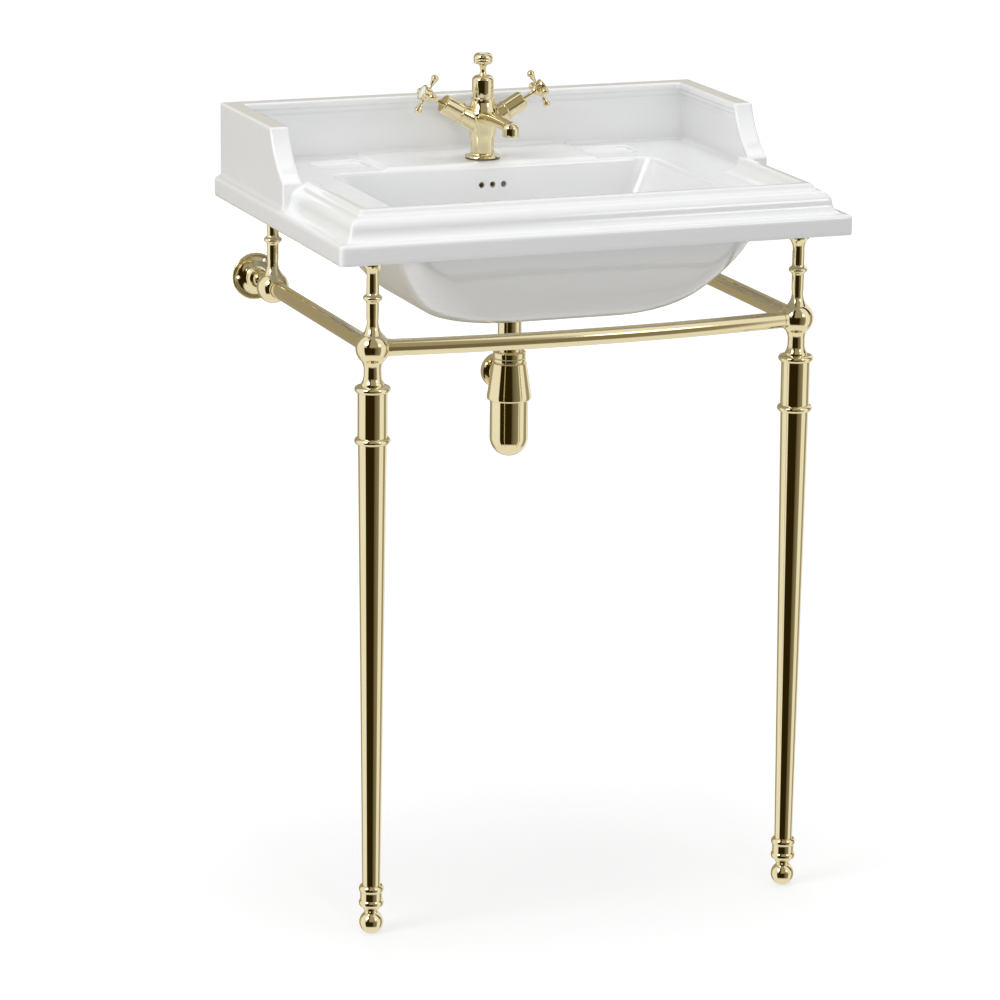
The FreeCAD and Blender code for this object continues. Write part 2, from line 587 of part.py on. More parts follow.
def make_basin():
    platform = rounded_block(PLATFORM_HALF_WIDTH, BOWL_BACK_Y - BOWL_CORNER, PANEL_Y + PANEL_THICKNESS / 2,
                             PLATFORM_CORNER, DECK_TOP - 1, PLATFORM_TOP)
    bowl = bowl_loft(BOWL_WALL, SLAB_UNDERSIDE + 1, BASIN_BOTTOM)
    duct_bottom = BASIN_BOTTOM + DUCT_WALL / 2
    duct_body = duct(DUCT_WALL, SLAB_UNDERSIDE + 1, BASIN_BOTTOM)
    rib = block((-WALL_RIB_HALF_WIDTH, HALF_DEPTH - WALL_RIB_THICKNESS, SLAB_UNDERSIDE - WALL_RIB_HEIGHT),
                (WALL_RIB_HALF_WIDTH, HALF_DEPTH, SLAB_UNDERSIDE + 1))
    body = slab_and_rim().cut(deck_hollow())
    body = body.multiFuse([platform, bowl, duct_body, rib] + upstand())
    cuts = bowl_cavity() + overflow_holes() + underside_pockets() + [soap_dish(side) for side in SIDES.values()]
    cuts.append(duct(0, OVERFLOW_HEIGHT + 2 * OVERFLOW_RADIUS, duct_bottom))
    cuts.append(rod(TAP_HOLE_RADIUS, V(0, TAP_Y, SLAB_UNDERSIDE - 1), V(0, TAP_Y, PLATFORM_TOP + 1)))
    nut_room = TAP_NUT_ACROSS_FLATS * 0.8
    cuts.append(block((-nut_room, TAP_Y - TAP_NUT_ACROSS_FLATS * 0.58, SLAB_UNDERSIDE - 1),
                      (nut_room, TAP_Y + nut_room, POCKET_TOP)))
    bolt_height = SLAB_UNDERSIDE - WALL_RIB_HEIGHT / 2
    for side in SIDES.values():
        start = V(side * WALL_BOLT_SPACING / 2, HALF_DEPTH - 2 * WALL_RIB_THICKNESS, bolt_height)
        cuts.append(rod(WALL_BOLT_RADIUS, start, start + V(0, 3 * WALL_RIB_THICKNESS, 0)))
    return body.cut(cuts).removeSplitter()


# ---- stand ----
def ring_points(radius, inner, middle, height):
    """A rounded ring on a turned piece: up one side of it and back to the inner radius."""
    return [(inner, middle - height / 2), (inner, middle + height / 2, -(radius - inner))]


def make_leg(side):
    """Collar, short column, second collar, then a long taper, bored through."""
    second = LEG_TOP - COLLAR_HEIGHT - COLUMN_LENGTH
    points = [(LEG_END_RADIUS, FOOT_HEIGHT), (LEG_TOP_RADIUS, second - COLLAR_HEIGHT)]
    points += ring_points(COLLAR_RADIUS, COLUMN_RADIUS, second - COLLAR_HEIGHT / 2, COLLAR_HEIGHT)
    points += ring_points(COLLAR_RADIUS, COLUMN_RADIUS, LEG_TOP - COLLAR_HEIGHT / 2, COLLAR_HEIGHT)
    return turned(points, LEG_BORE_RADIUS, V(side * LEG_X, FRONT_Y, 0))


def make_foot(side):
    """Ball foot with two rings above it and a spigot up into the leg."""
    ring = FOOT_HEIGHT * 0.14
    ball_centre = math.sqrt(FOOT_BALL_RADIUS ** 2 - FOOT_FLAT_RADIUS ** 2)
    neck = ball_centre + math.sqrt(FOOT_BALL_RADIUS ** 2 - FOOT_NECK_RADIUS ** 2)
    bulge = arc_rise(FOOT_BALL_RADIUS, (FOOT_FLAT_RADIUS, 0), (FOOT_NECK_RADIUS, neck))
    lower = FOOT_HEIGHT - 2.6 * ring
    points = [(FOOT_FLAT_RADIUS, 0), (FOOT_NECK_RADIUS, neck, -bulge),
              (FOOT_NECK_RADIUS, neck + ring / 3), (FOOT_BAND_RADIUS * 0.9, lower - ring / 2)]
    points += ring_points(FOOT_RING_RADIUS, FOOT_BAND_RADIUS, lower, ring)
    points += ring_points(FOOT_RING_RADIUS, FOOT_BAND_RADIUS, FOOT_HEIGHT - ring / 2, ring)
    spigot = LEG_BORE_RADIUS - SLIP
    points += [(spigot, FOOT_HEIGHT), (spigot, FOOT_HEIGHT + 2 * SPIGOT_LENGTH)]
    return turned(points, 0, V(side * LEG_X, FRONT_Y, 0))


def railed_ball(centre, rails, extras):
    """A ball with a boss and spigot for each rail, given by its end and direction, and a bored seat on top."""
    body = Part.makeSphere(BALL_RADIUS, centre)
    for end, direction in rails:
        start = end - direction * BOSS_REACH
        body = body.fuse(rod(BOSS_RADIUS, start, end))
        body = body.fuse(rod(RAIL_BORE - 2 * SLIP, start, end + direction * SPIGOT_LENGTH))
    body = joined([body] + extras)
    above = block((centre.x - BALL_RADIUS, centre.y - BALL_RADIUS, centre.z + SPINDLE_BOTTOM),
                  (centre.x + BALL_RADIUS, centre.y + BALL_RADIUS, centre.z + 2 * BALL_RADIUS))
    bore = rod(SPINDLE_STUD_RADIUS + THREAD_GAP, centre + UP * (SPINDLE_BOTTOM - SPINDLE_STUD_LENGTH),
               centre + UP * (2 * BALL_RADIUS))
    return body.cut([above, bore])


def bow():
    """Radius of the bowed front rail, the Y of its centre, and half its turn in radians."""
    radius = (LEG_X ** 2 + RAIL_BOW ** 2) / (2 * RAIL_BOW)
    return radius, FRONT_Y - RAIL_BOW + radius, math.asin(LEG_X / radius) - BOSS_REACH / radius


def bow_end(side):
    """End of the bowed rail next to a front ball, and the way the rail runs on from there."""
    radius, centre_y, turn = bow()
    end = V(side * radius * math.sin(turn), centre_y - radius * math.cos(turn), BALL_HEIGHT)
    return end, V(-side * math.cos(turn), -math.sin(turn), 0)


def make_corner_ball(side):
    """Front ball: necked down to the leg, with a spigot into it, and open to two rails."""
    centre = V(side * LEG_X, FRONT_Y, BALL_HEIGHT)
    spigot = LEG_BORE_RADIUS - SLIP
    sphere_foot = -math.sqrt(BALL_RADIUS ** 2 - NECK_FOOT_RADIUS ** 2)
    waist = -NECK_LENGTH * 0.66
    neck = turned([
        (spigot, -NECK_LENGTH - SPIGOT_LENGTH), (spigot, -NECK_LENGTH), (NECK_FOOT_RADIUS, -NECK_LENGTH),
        (NECK_FOOT_RADIUS, -NECK_LENGTH * 0.93), (NECK_RADIUS, waist, 1.1), (NECK_FOOT_RADIUS, sphere_foot, 1.3),
        (0, sphere_foot / 2)], 0, centre)
    return railed_ball(centre, [(centre + TO_WALL * BOSS_REACH, TO_WALL), bow_end(side)], [neck])


def make_rear_ball(side):
    """Rear ball: open to the side rail in front and necked to the wall rose behind."""
    centre = V(side * LEG_X, REAR_Y, BALL_HEIGHT)
    hub_front = HALF_DEPTH - ROSE_HEIGHT - REAR_Y
    neck = rod(ROSE_HUB_RADIUS * 0.75, centre, centre + TO_WALL * hub_front)
    spigot = rod(ROSE_SPIGOT_RADIUS - SLIP, centre, centre + TO_WALL * (hub_front + ROSE_HEIGHT * 0.6))
    return railed_ball(centre, [(centre - TO_WALL * BOSS_REACH, TO_WALL * -1)], [neck, spigot])


def make_side_rail(side):
    """Straight tube from the front ball to the rear ball."""
    start = V(side * LEG_X, FRONT_Y + BOSS_REACH, BALL_HEIGHT)
    return rod(RAIL_RADIUS, start, V(side * LEG_X, REAR_Y - BOSS_REACH, BALL_HEIGHT), RAIL_BORE)


def make_front_rail():
    """Tube bowed forwards between the two front balls."""
    radius, centre_y, turn = bow()
    half_turn = math.degrees(turn)
    middle = V(0, centre_y - radius, BALL_HEIGHT)
    outer = Part.Wire(Part.makeCircle(RAIL_RADIUS, middle, V(1, 0, 0)))
    inner = Part.Wire(Part.makeCircle(RAIL_BORE, middle, V(1, 0, 0)))
    tubes = []
    for wire in (outer, inner):
        face = Part.Face(wire)
        face.rotate(V(0, centre_y, 0), UP, -half_turn)
        tubes.append(upright(face.revolve(V(0, centre_y, 0), UP, 2 * half_turn)))
    return tubes[0].cut(tubes[1])


def make_spindle(side, y):
    """Turned post from a ball up to the basin, with a bead and a flared cap."""
    lower = SPINDLE_BEAD_HEIGHT - 8
    upper = SPINDLE_BEAD_HEIGHT + 8
    cap = SPINDLE_TOP - 3
    points = [
        (SPINDLE_STUD_RADIUS, SPINDLE_BOTTOM - SPINDLE_STUD_LENGTH + 1), (SPINDLE_STUD_RADIUS, SPINDLE_BOTTOM),
        (SPINDLE_FOOT_RADIUS, SPINDLE_BOTTOM), (SPINDLE_RADIUS, SPINDLE_BOTTOM + 20, 2.4), (SPINDLE_RADIUS, lower),
        (SPINDLE_RADIUS + 1.8, lower + 5, 0.6),
    ]
    points += ring_points(SPINDLE_BEAD_RADIUS, SPINDLE_RADIUS + 1.8, SPINDLE_BEAD_HEIGHT, 6)
    points += [
        (SPINDLE_RADIUS, upper, 0.6), (SPINDLE_RADIUS, SPINDLE_TOP - 20),
        (SPINDLE_CAP_RADIUS, cap, 2.2), (SPINDLE_CAP_RADIUS, SPINDLE_TOP),
    ]
    return turned(points, 0, V(side * LEG_X, y, BALL_HEIGHT))


def make_spindle_pads():
    """Four rubber buffers between the spindles and the basin."""
    low = SLAB_UNDERSIDE - PAD_THICKNESS
    spots = [(side * LEG_X, y) for side in SIDES.values() for y in (FRONT_Y, REAR_Y)]
    return Part.Compound([rod(PAD_RADIUS, V(x, y, low), V(x, y, SLAB_UNDERSIDE)) for x, y in spots])


def make_wall_rose(side):
    """Dished wall plate with a hub for the rear ball and three screw holes."""
    hub = ROSE_HUB_RADIUS
    points = [
        (ROSE_RADIUS, 0), (ROSE_RADIUS, ROSE_RIM * 0.6), (ROSE_RADIUS - ROSE_RIM, ROSE_RIM, -0.6),
        (hub + 3, ROSE_HEIGHT * 0.45, 1.2), (hub, ROSE_HEIGHT * 0.7, 0.8),
        (hub + 0.8, ROSE_HEIGHT * 0.85, -0.5), (hub - 1, ROSE_HEIGHT),
    ]
    base = V(side * LEG_X, HALF_DEPTH, BALL_HEIGHT)
    plate = turned(points, ROSE_SPIGOT_RADIUS, base, V(0, -1, 0))
    holes = []
    for k in range(3):
        turn = math.pi + 2 * math.pi * k / 3
        x = base.x + ROSE_SCREW_CIRCLE / 2 * math.cos(turn)
        z = base.z + ROSE_SCREW_CIRCLE / 2 * math.sin(turn)
        holes.append(rod(ROSE_SCREW_RADIUS, V(x, HALF_DEPTH + 1, z), V(x, HALF_DEPTH - ROSE_HEIGHT, z)))
    return plate.cut(holes)


# ---- waste and pop-up works ----
def on_waste(points, bore=0.0):
    """A piece turned about the waste's upright axis."""
    return turned(points, bore, V(0, WASTE_Y, 0))


def make_waste_flange():
    low = WASTE_SEAT - WASTE_FLANGE_THICKNESS
    slot_low = BASIN_BOTTOM + DUCT_WALL / 2
    flange = on_waste([
        (WASTE_TUBE_RADIUS, TEE_TOP), (WASTE_TUBE_RADIUS, low), (WASTE_FLANGE_RADIUS, low),
        (WASTE_FLANGE_RADIUS, WASTE_SEAT - 1), (WASTE_FLANGE_RADIUS - 2, WASTE_SEAT),
        (PLUG_RADIUS, WASTE_SEAT)], WASTE_BORE_RADIUS)
    slot = block((-DUCT_HALF_WIDTH / 2, WASTE_Y, slot_low),
                 (DUCT_HALF_WIDTH / 2, WASTE_Y + 2 * WASTE_TUBE_RADIUS, slot_low + DUCT_WALL / 2))
    return flange.cut(slot)


def make_waste_washer():
    radius = BACKNUT_ACROSS_FLATS / 2 + 3
    return on_waste([(radius, NUT_TOP), (radius, BASIN_BOTTOM)], WASTE_TUBE_RADIUS + THREAD_GAP)


def make_waste_backnut():
    return hexagon_nut(BACKNUT_ACROSS_FLATS, BACKNUT_HEIGHT, WASTE_TUBE_RADIUS + THREAD_GAP, V(0, WASTE_Y, TEE_TOP))


def make_waste_tee():
    """Short body under the waste, with a bored port at the back for the pivot ball."""
    shoulder = TEE_BOTTOM + TEE_HEIGHT * 0.25
    body = on_waste([(TEE_RADIUS, TEE_BOTTOM), (TEE_RADIUS, TEE_TOP)])
    port_end = V(0, PIVOT_Y + PIVOT_BALL_RADIUS * 0.3, PIVOT_HEIGHT)
    port = rod(PIVOT_NUT_RADIUS * 0.85, V(0, WASTE_Y, PIVOT_HEIGHT), port_end)
    bores = [
        rod(WASTE_BORE_RADIUS, V(0, WASTE_Y, shoulder), V(0, WASTE_Y, TEE_TOP + 1)),
        rod(TAIL_RADIUS + SLIP, V(0, WASTE_Y, TEE_BOTTOM - 1), V(0, WASTE_Y, shoulder + 1)),
        rod(PIVOT_BALL_RADIUS * 0.86, V(0, WASTE_Y, PIVOT_HEIGHT), port_end),
        Part.makeSphere(PIVOT_BALL_RADIUS + RUNNING, V(0, PIVOT_Y, PIVOT_HEIGHT)),
    ]
    return body.fuse(port).cut(bores)


def make_pivot_nut():
    """Cap nut that keeps the pivot ball in its port."""
    start = V(0, PIVOT_Y + PIVOT_BALL_RADIUS * 0.3, PIVOT_HEIGHT)
    nut = rod(PIVOT_NUT_RADIUS, start, start + TO_WALL * PIVOT_NUT_LENGTH)
    reach = PIVOT_NUT_LENGTH + PIVOT_BALL_RADIUS * 0.3
    sway = reach * LIFT_TRAVEL / (STRAP_Y - PIVOT_Y) + PIVOT_ROD_RADIUS * 1.1 + REST_GAP
    mouth = rod(max(sway, PIVOT_BALL_RADIUS * 0.86), start, start + TO_WALL * (PIVOT_NUT_LENGTH + 1))
    return nut.cut([mouth, Part.makeSphere(PIVOT_BALL_RADIUS + RUNNING, V(0, PIVOT_Y, PIVOT_HEIGHT))])


def make_pivot_rod():
    """Rod through a ball: its inner end lifts the plug, its outer end is worked by the strap."""
    start = V(0, WASTE_Y - PIVOT_ROD_RADIUS * 2, PIVOT_HEIGHT)
    bar = rod(PIVOT_ROD_RADIUS, start, V(0, STRAP_Y + PIVOT_ROD_TAIL, PIVOT_HEIGHT))
    return bar.fuse(Part.makeSphere(PIVOT_BALL_RADIUS, V(0, PIVOT_Y, PIVOT_HEIGHT)))


def make_waste_plug():
    """Domed plug on a stem that stands on the pivot rod."""
    low = WASTE_SEAT + PLUG_LIFT + 2.0
    foot = PIVOT_HEIGHT + PIVOT_ROD_RADIUS + REST_GAP
    return on_waste([
        (PLUG_STEM_RADIUS * 0.3, foot), (PLUG_STEM_RADIUS, foot + PLUG_STEM_RADIUS), (PLUG_STEM_RADIUS, low - PLUG_HEIGHT * 1.5),
        (WASTE_BORE_RADIUS * 0.7, low - PLUG_HEIGHT * 0.6), (WASTE_BORE_RADIUS * 0.7, low), (PLUG_RADIUS, low)]
        + dome(PLUG_RADIUS, low + PLUG_HEIGHT * 0.36, low + PLUG_HEIGHT))


def make_plug_seal():
    """Rubber ring under the plug's head."""
    low = WASTE_SEAT + PLUG_LIFT + REST_GAP
    inner = WASTE_BORE_RADIUS * 0.7 + SLIP
    return on_waste([(PLUG_RADIUS - 3, low), (PLUG_RADIUS - 1, WASTE_SEAT + PLUG_LIFT + 2.0)], inner)


# ---- trap ----
def make_tail_pipe():
    shoulder = TEE_BOTTOM + TEE_HEIGHT * 0.25
    return on_waste([(TAIL_RADIUS, TRAP_BODY_TOP - 20), (TAIL_RADIUS, shoulder)], TAIL_RADIUS - TAIL_WALL)


def make_trap_inlet_nut():
    """Round nut with a turned groove, round the tail pipe."""
    low, high = TRAP_BODY_TOP, TRAP_INLET_TOP
    r, groove = TRAP_INLET_NUT_RADIUS, TRAP_INLET_NUT_HEIGHT
    return on_waste([
        (r - 1, low), (r, low + 1), (r, low + groove * 0.3), (r - 0.8, low + groove * 0.38),
        (r, low + groove * 0.46), (r, high - 2), (r - 2, high, -0.6)], TAIL_RADIUS + SLIP)


def make_trap_body():
    """Bell-shaped body over the bottle, with the outlet branch at the back."""
    top, foot = TRAP_BODY_TOP, TRAP_BODY_FOOT
    outer = on_waste([
        (TRAP_BODY_FOOT_RADIUS - 3, foot), (TRAP_BODY_FOOT_RADIUS, foot + 3, -0.9),
        (TRAP_BODY_FOOT_RADIUS, foot + 5), (TRAP_BODY_TOP_RADIUS, top - 2), (TRAP_BODY_TOP_RADIUS - 2, top)])
    branch_end = V(0, WASTE_Y + OUTLET_REACH, OUTLET_HEIGHT)
    axis_point = V(0, WASTE_Y, OUTLET_HEIGHT)
    branch = rod(OUTLET_RADIUS + TRAP_WALL, axis_point, branch_end)
    inner = on_waste([
        (TRAP_BOTTLE_RADIUS + THREAD_GAP, foot - 1), (TRAP_BOTTLE_RADIUS + THREAD_GAP, TRAP_BOTTLE_TOP + TRAP_WALL),
        (TRAP_BODY_TOP_RADIUS - TRAP_WALL, top - TRAP_WALL * 2)])
    collar = rod(TAIL_RADIUS + TRAP_WALL + SLIP, V(0, WASTE_Y, foot), V(0, WASTE_Y, top + 1))
    socket = rod(OUTLET_RADIUS, branch_end - TO_WALL * OUTLET_SOCKET_LENGTH, branch_end + TO_WALL)
    way = rod(OUTLET_RADIUS - OUTLET_STOP, axis_point, branch_end)
    return outer.fuse(branch).cut([inner, collar, way, socket])


def make_trap_bottle():
    """Round-bottomed cup screwed up into the body."""
    r, low = TRAP_BOTTLE_RADIUS, TRAP_BOTTLE_BOTTOM
    bend = r * (1 - math.sqrt(0.5))
    wall_top = TRAP_BOTTLE_TOP
    outer = on_waste([(0, low), (r, low + r, -bend), (r, wall_top)])
    inner_r = r - TRAP_WALL
    inner = on_waste([(0, low + TRAP_WALL), (inner_r, low + r, -inner_r * (1 - math.sqrt(0.5))),
                      (inner_r, wall_top + 1)])
    return outer.cut(inner)


def make_trap_dip_tube():
    """Sleeve that carries the water from the tail pipe down into the bottle."""
    radius = TAIL_RADIUS + TRAP_WALL
    return on_waste([(radius, TRAP_BODY_TOP - DIP_TUBE_LENGTH), (radius, TRAP_BODY_TOP)], TAIL_RADIUS + SLIP)


def make_trap_outlet_nut():
    start = V(0, WASTE_Y + OUTLET_REACH - OUTLET_NUT_LENGTH, OUTLET_HEIGHT)
    r, length = OUTLET_NUT_RADIUS, OUTLET_NUT_LENGTH
    return turned([(r - 1.5, 0), (r, 1.5), (r, length - 2), (r - 2, length, -0.6)],
                  OUTLET_RADIUS + TRAP_WALL + THREAD_GAP, start, TO_WALL)


# ---- tap ----
def on_tap(points, bore=0.0):
    """A piece turned about the tap's upright axis."""
    return turned(points, bore, V(0, TAP_Y, 0))


def arm_axis(side):
    """The way a valve arm rises out of the tap."""
    return V(side * math.cos(ARM_TURN), 0, math.sin(ARM_TURN))


def on_arm(side, points, bore=0.0):
    """A piece turned about a valve arm; heights are measured from where the two arms cross."""
    return turned(points, bore, V(0, TAP_Y, PLATFORM_TOP + ARM_CROSSING), arm_axis(side))


def tap_core():
    """The tap's waisted middle, without arms, spout or bores."""
    z = PLATFORM_TOP
    return on_tap([
        (TAP_WAIST_RADIUS, BODY_BOTTOM), (TAP_WAIST_RADIUS, BODY_BOTTOM + 6),
        (TAP_SHOULDER_RADIUS * 0.84, z + TAP_BODY_HEIGHT * 0.4, 0.5),
        (TAP_SHOULDER_RADIUS, z + TAP_BODY_HEIGHT * 0.68, 0.6),
        (TAP_SHOULDER_RADIUS, z + TAP_BODY_HEIGHT * 0.8, -0.8),
        (DOME_BASE_RADIUS, BODY_TOP - 1.5, 0.6), (DOME_BASE_RADIUS, BODY_TOP)])


def make_tap_body():
    shapes = [tap_core()]
    for side in SIDES.values():
        shapes.append(on_arm(side, [(ARM_ROOT_RADIUS, 0), (ARM_RADIUS, ARM_REACH)]))
    shank = rod(SHANK_RADIUS, V(0, TAP_Y, SHANK_BOTTOM), V(0, TAP_Y, BODY_BOTTOM + 1))
    bores = [rod(LIFT_ROD_RADIUS + RUNNING, V(0, TAP_Y, SHANK_BOTTOM - 1), V(0, TAP_Y, BODY_TOP + 1))]
    for side in SIDES.values():
        x = side * SHANK_SOCKET_OFFSET
        socket_top = V(x, TAP_Y, SHANK_BOTTOM + SHANK_SOCKET_DEPTH)
        bores.append(rod(SHANK_SOCKET_RADIUS, V(x, TAP_Y, SHANK_BOTTOM - 1), socket_top))
        seat = ARM_REACH - COVER_LENGTH * 0.35
        bores.append(on_arm(side, [(ARM_RADIUS * 0.66, seat), (ARM_RADIUS * 0.66, ARM_REACH + 1)]))
    return joined(shapes + [shank]).cut(bores)


def make_supply_tails():
    """Two soft copper tails screwed into the shank, bent apart and then straight down."""
    tubes = []
    for side in SIDES.values():
        start = V(side * SHANK_SOCKET_OFFSET, TAP_Y, SHANK_BOTTOM + SHANK_SOCKET_DEPTH - 1)
        bend_top = V(start.x, TAP_Y, SHANK_BOTTOM - 2)
        shift = side * TAIL_SPREAD - start.x
        turn = math.acos(1 - abs(shift) / (2 * TAIL_BEND))
        drop = TAIL_BEND * math.sin(turn)
        low = V(side * TAIL_SPREAD, TAP_Y, bend_top.z - 2 * drop)
        middle = V(start.x + shift / 2, TAP_Y, bend_top.z - drop)
        sag = TAIL_BEND * math.sin(turn / 2)
        dip = TAIL_BEND * (1 - math.cos(turn / 2))
        upper = Part.Arc(bend_top, bend_top + V(side * dip, 0, -sag), middle).toShape()
        lower = Part.Arc(middle, low + V(-side * dip, 0, sag), low).toShape()
        path = Part.Wire([Part.LineSegment(start, bend_top).toShape(), upper, lower,
                          Part.LineSegment(low, low - UP * TAIL_STRAIGHT).toShape()])
        skins = []
        for radius in (TAIL_TUBE_RADIUS, TAIL_TUBE_RADIUS - TAIL_TUBE_WALL):
            skins.append(path.makePipeShell([Part.Wire(Part.makeCircle(radius, start))], True, False))
        sleeve = rod(SHANK_SOCKET_RADIUS - SLIP, start, V(start.x, TAP_Y, SHANK_BOTTOM + 1))
        tubes.append(sleeve.fuse(skins[0]).cut(skins[1]))
    return Part.Compound(tubes)


def make_tap_base_flange():
    r, height = TAP_FLANGE_RADIUS, TAP_FLANGE_HEIGHT
    return on_tap([
        (r - 0.8, SEAL_TOP), (r, SEAL_TOP + 0.8), (r - 0.6, SEAL_TOP + height * 0.4),
        (r - 3, SEAL_TOP + height * 0.5), (TAP_WAIST_RADIUS + 1, SEAL_TOP + height, 1.2)],
        SHANK_RADIUS + SLIP)


def make_tap_base_seal():
    r = TAP_FLANGE_RADIUS - 1
    return on_tap([(r, PLATFORM_TOP), (r, SEAL_TOP)], SHANK_RADIUS + SLIP)


def make_horseshoe_washer():
    """Open plate under the basin, slipped in round the shank."""
    top = POCKET_TOP
    ring = on_tap([(TAP_NUT_ACROSS_FLATS * 0.56, top - TAP_WASHER_THICKNESS), (TAP_NUT_ACROSS_FLATS * 0.56, top)],
                  SHANK_RADIUS + THREAD_GAP)
    mouth = SHANK_RADIUS + THREAD_GAP
    gap = block((-mouth, TAP_Y, top - TAP_WASHER_THICKNESS - 1), (mouth, TAP_Y + 2 * TAP_NUT_ACROSS_FLATS, top + 1))
    return ring.cut(gap)


def make_tap_backnut():
    base = V(0, TAP_Y, POCKET_TOP - TAP_WASHER_THICKNESS - TAP_NUT_HEIGHT)
    return hexagon_nut(TAP_NUT_ACROSS_FLATS, TAP_NUT_HEIGHT, SHANK_RADIUS + THREAD_GAP, base)


def ellipse_wire(half_width, half_height, y, z):
    """An upright ellipse facing along Y."""
    if half_width < half_height:
        ellipse = Part.Ellipse(V(0, y, z + half_height), V(half_width, y, z), V(0, y, z))
    else:
        ellipse = Part.Ellipse(V(half_width, y, z), V(0, y, z + half_height), V(0, y, z))
    return Part.Wire(ellipse.toShape())


def make_spout():
    """Flattened spout reaching over the bowl, with an upright nozzle at its end."""
    z = PLATFORM_TOP + SPOUT_HEIGHT
    tip = TAP_Y - SPOUT_REACH
    wide, high = SPOUT_ROOT_WIDTH / 2, SPOUT_ROOT_HEIGHT / 2
    wires = [
        ellipse_wire(wide, high, TAP_Y - 2, z - high * 0.3),
        ellipse_wire(wide, high, TAP_Y - TAP_SHOULDER_RADIUS - 4, z),
        ellipse_wire(wide * 0.86, high * 0.88, TAP_Y - SPOUT_REACH * 0.5, z + 1),
        ellipse_wire(NOZZLE_RADIUS * 0.9, high * 0.8, tip + NOZZLE_RADIUS * 0.3, z),
    ]
    nozzle_low = z + high * 0.5 - NOZZLE_DROP
    nozzle = turned([(NOZZLE_RADIUS, nozzle_low)] + dome(NOZZLE_RADIUS, z, z + high * 0.95), 0, V(0, tip, 0))
    body = joined([Part.makeLoft(wires, True, False), nozzle])
    mouth = NOZZLE_RADIUS - 1.5
    bore = rod(mouth, V(0, tip, nozzle_low - 1), V(0, tip, nozzle_low + NOZZLE_DROP * 0.5))
    return body.cut([tap_core(), bore])


def make_spout_aerator():
    """Flow straightener pressed into the nozzle, with a grid of small holes."""
    tip = TAP_Y - SPOUT_REACH
    low = PLATFORM_TOP + SPOUT_HEIGHT + SPOUT_ROOT_HEIGHT / 4 - NOZZLE_DROP
    radius = NOZZLE_RADIUS - 1.5 - SLIP
    disc = rod(radius, V(0, tip, low + 1), V(0, tip, low + 5))
    holes = [rod(0.9, V(0, tip, low), V(0, tip, low + 6))]
    for ring, count in ((0.36, 6), (0.72, 12)):
        for k in range(count):
            turn = 2 * math.pi * k / count
            spot = V(radius * ring * math.cos(turn), tip + radius * ring * math.sin(turn), low)
            holes.append(rod(0.9, spot, spot + V(0, 0, 6)))
    return disc.cut(holes)


def make_centre_dome():
    """Bell-shaped cap on the tap, bored for the lift rod."""
    r = DOME_RADIUS
    shoulder = DOME_TOP - DOME_HEIGHT * 0.16
    return on_tap([
        (DOME_BASE_RADIUS, BODY_TOP), (DOME_BASE_RADIUS, BODY_TOP + 1.6), (r, BODY_TOP + 4, 0.5),
        (r, shoulder), (r * 0.45, DOME_TOP, -1.8)], LIFT_ROD_RADIUS + RUNNING)


def make_valve_cover(side):
    """Cylindrical shroud on a valve arm, beaded where it meets the tap."""
    start, end = ARM_REACH, ARM_REACH + COVER_LENGTH
    points = [(COVER_BEAD_RADIUS - 1.4, start), (COVER_BEAD_RADIUS - 1.4, start + 2.6, -1.4),
              (COVER_RADIUS, start + 3), (COVER_RADIUS, end - 2), (COVER_RADIUS - 2, end, -0.6)]
    shell = on_arm(side, points, VALVE_SPINDLE_RADIUS + RUNNING)
    room = ARM_RADIUS * 0.66
    return shell.cut(on_arm(side, [(room, start - 1), (room, end - 5)]))


def make_valve_cartridge(side):
    """Brass valve that turns the water on in a quarter turn, under its cover."""
    start, end = ARM_REACH - COVER_LENGTH * 0.35, ARM_REACH + COVER_LENGTH - 5
    r = ARM_RADIUS * 0.66 - SLIP
    return on_arm(side, [(r, start), (r, end - 6), (r - 2, end - 5), (r - 2, end)], VALVE_SPINDLE_RADIUS + RUNNING)


def make_valve_spindle(side):
    """Brass spindle from the valve out to the crosshead, with a square-cut screw hole in its end."""
    hub_in = HUB_DISTANCE - HUB_LENGTH / 2
    tip = HUB_DISTANCE + HUB_LENGTH * 0.1
    start = ARM_REACH - COVER_LENGTH * 0.3
    shoulder = VALVE_SPINDLE_RADIUS + 0.5
    points = [(VALVE_SPINDLE_RADIUS, start), (VALVE_SPINDLE_RADIUS, hub_in - 5), (shoulder, hub_in - 4),
              (shoulder, hub_in), (VALVE_SPINDLE_RADIUS, hub_in), (VALVE_SPINDLE_RADIUS, tip)]
    screw_hole = on_arm(side, [(1.2, HUB_DISTANCE - HUB_LENGTH * 0.4), (1.2, tip + 1)])
    return on_arm(side, points).cut(screw_hole)


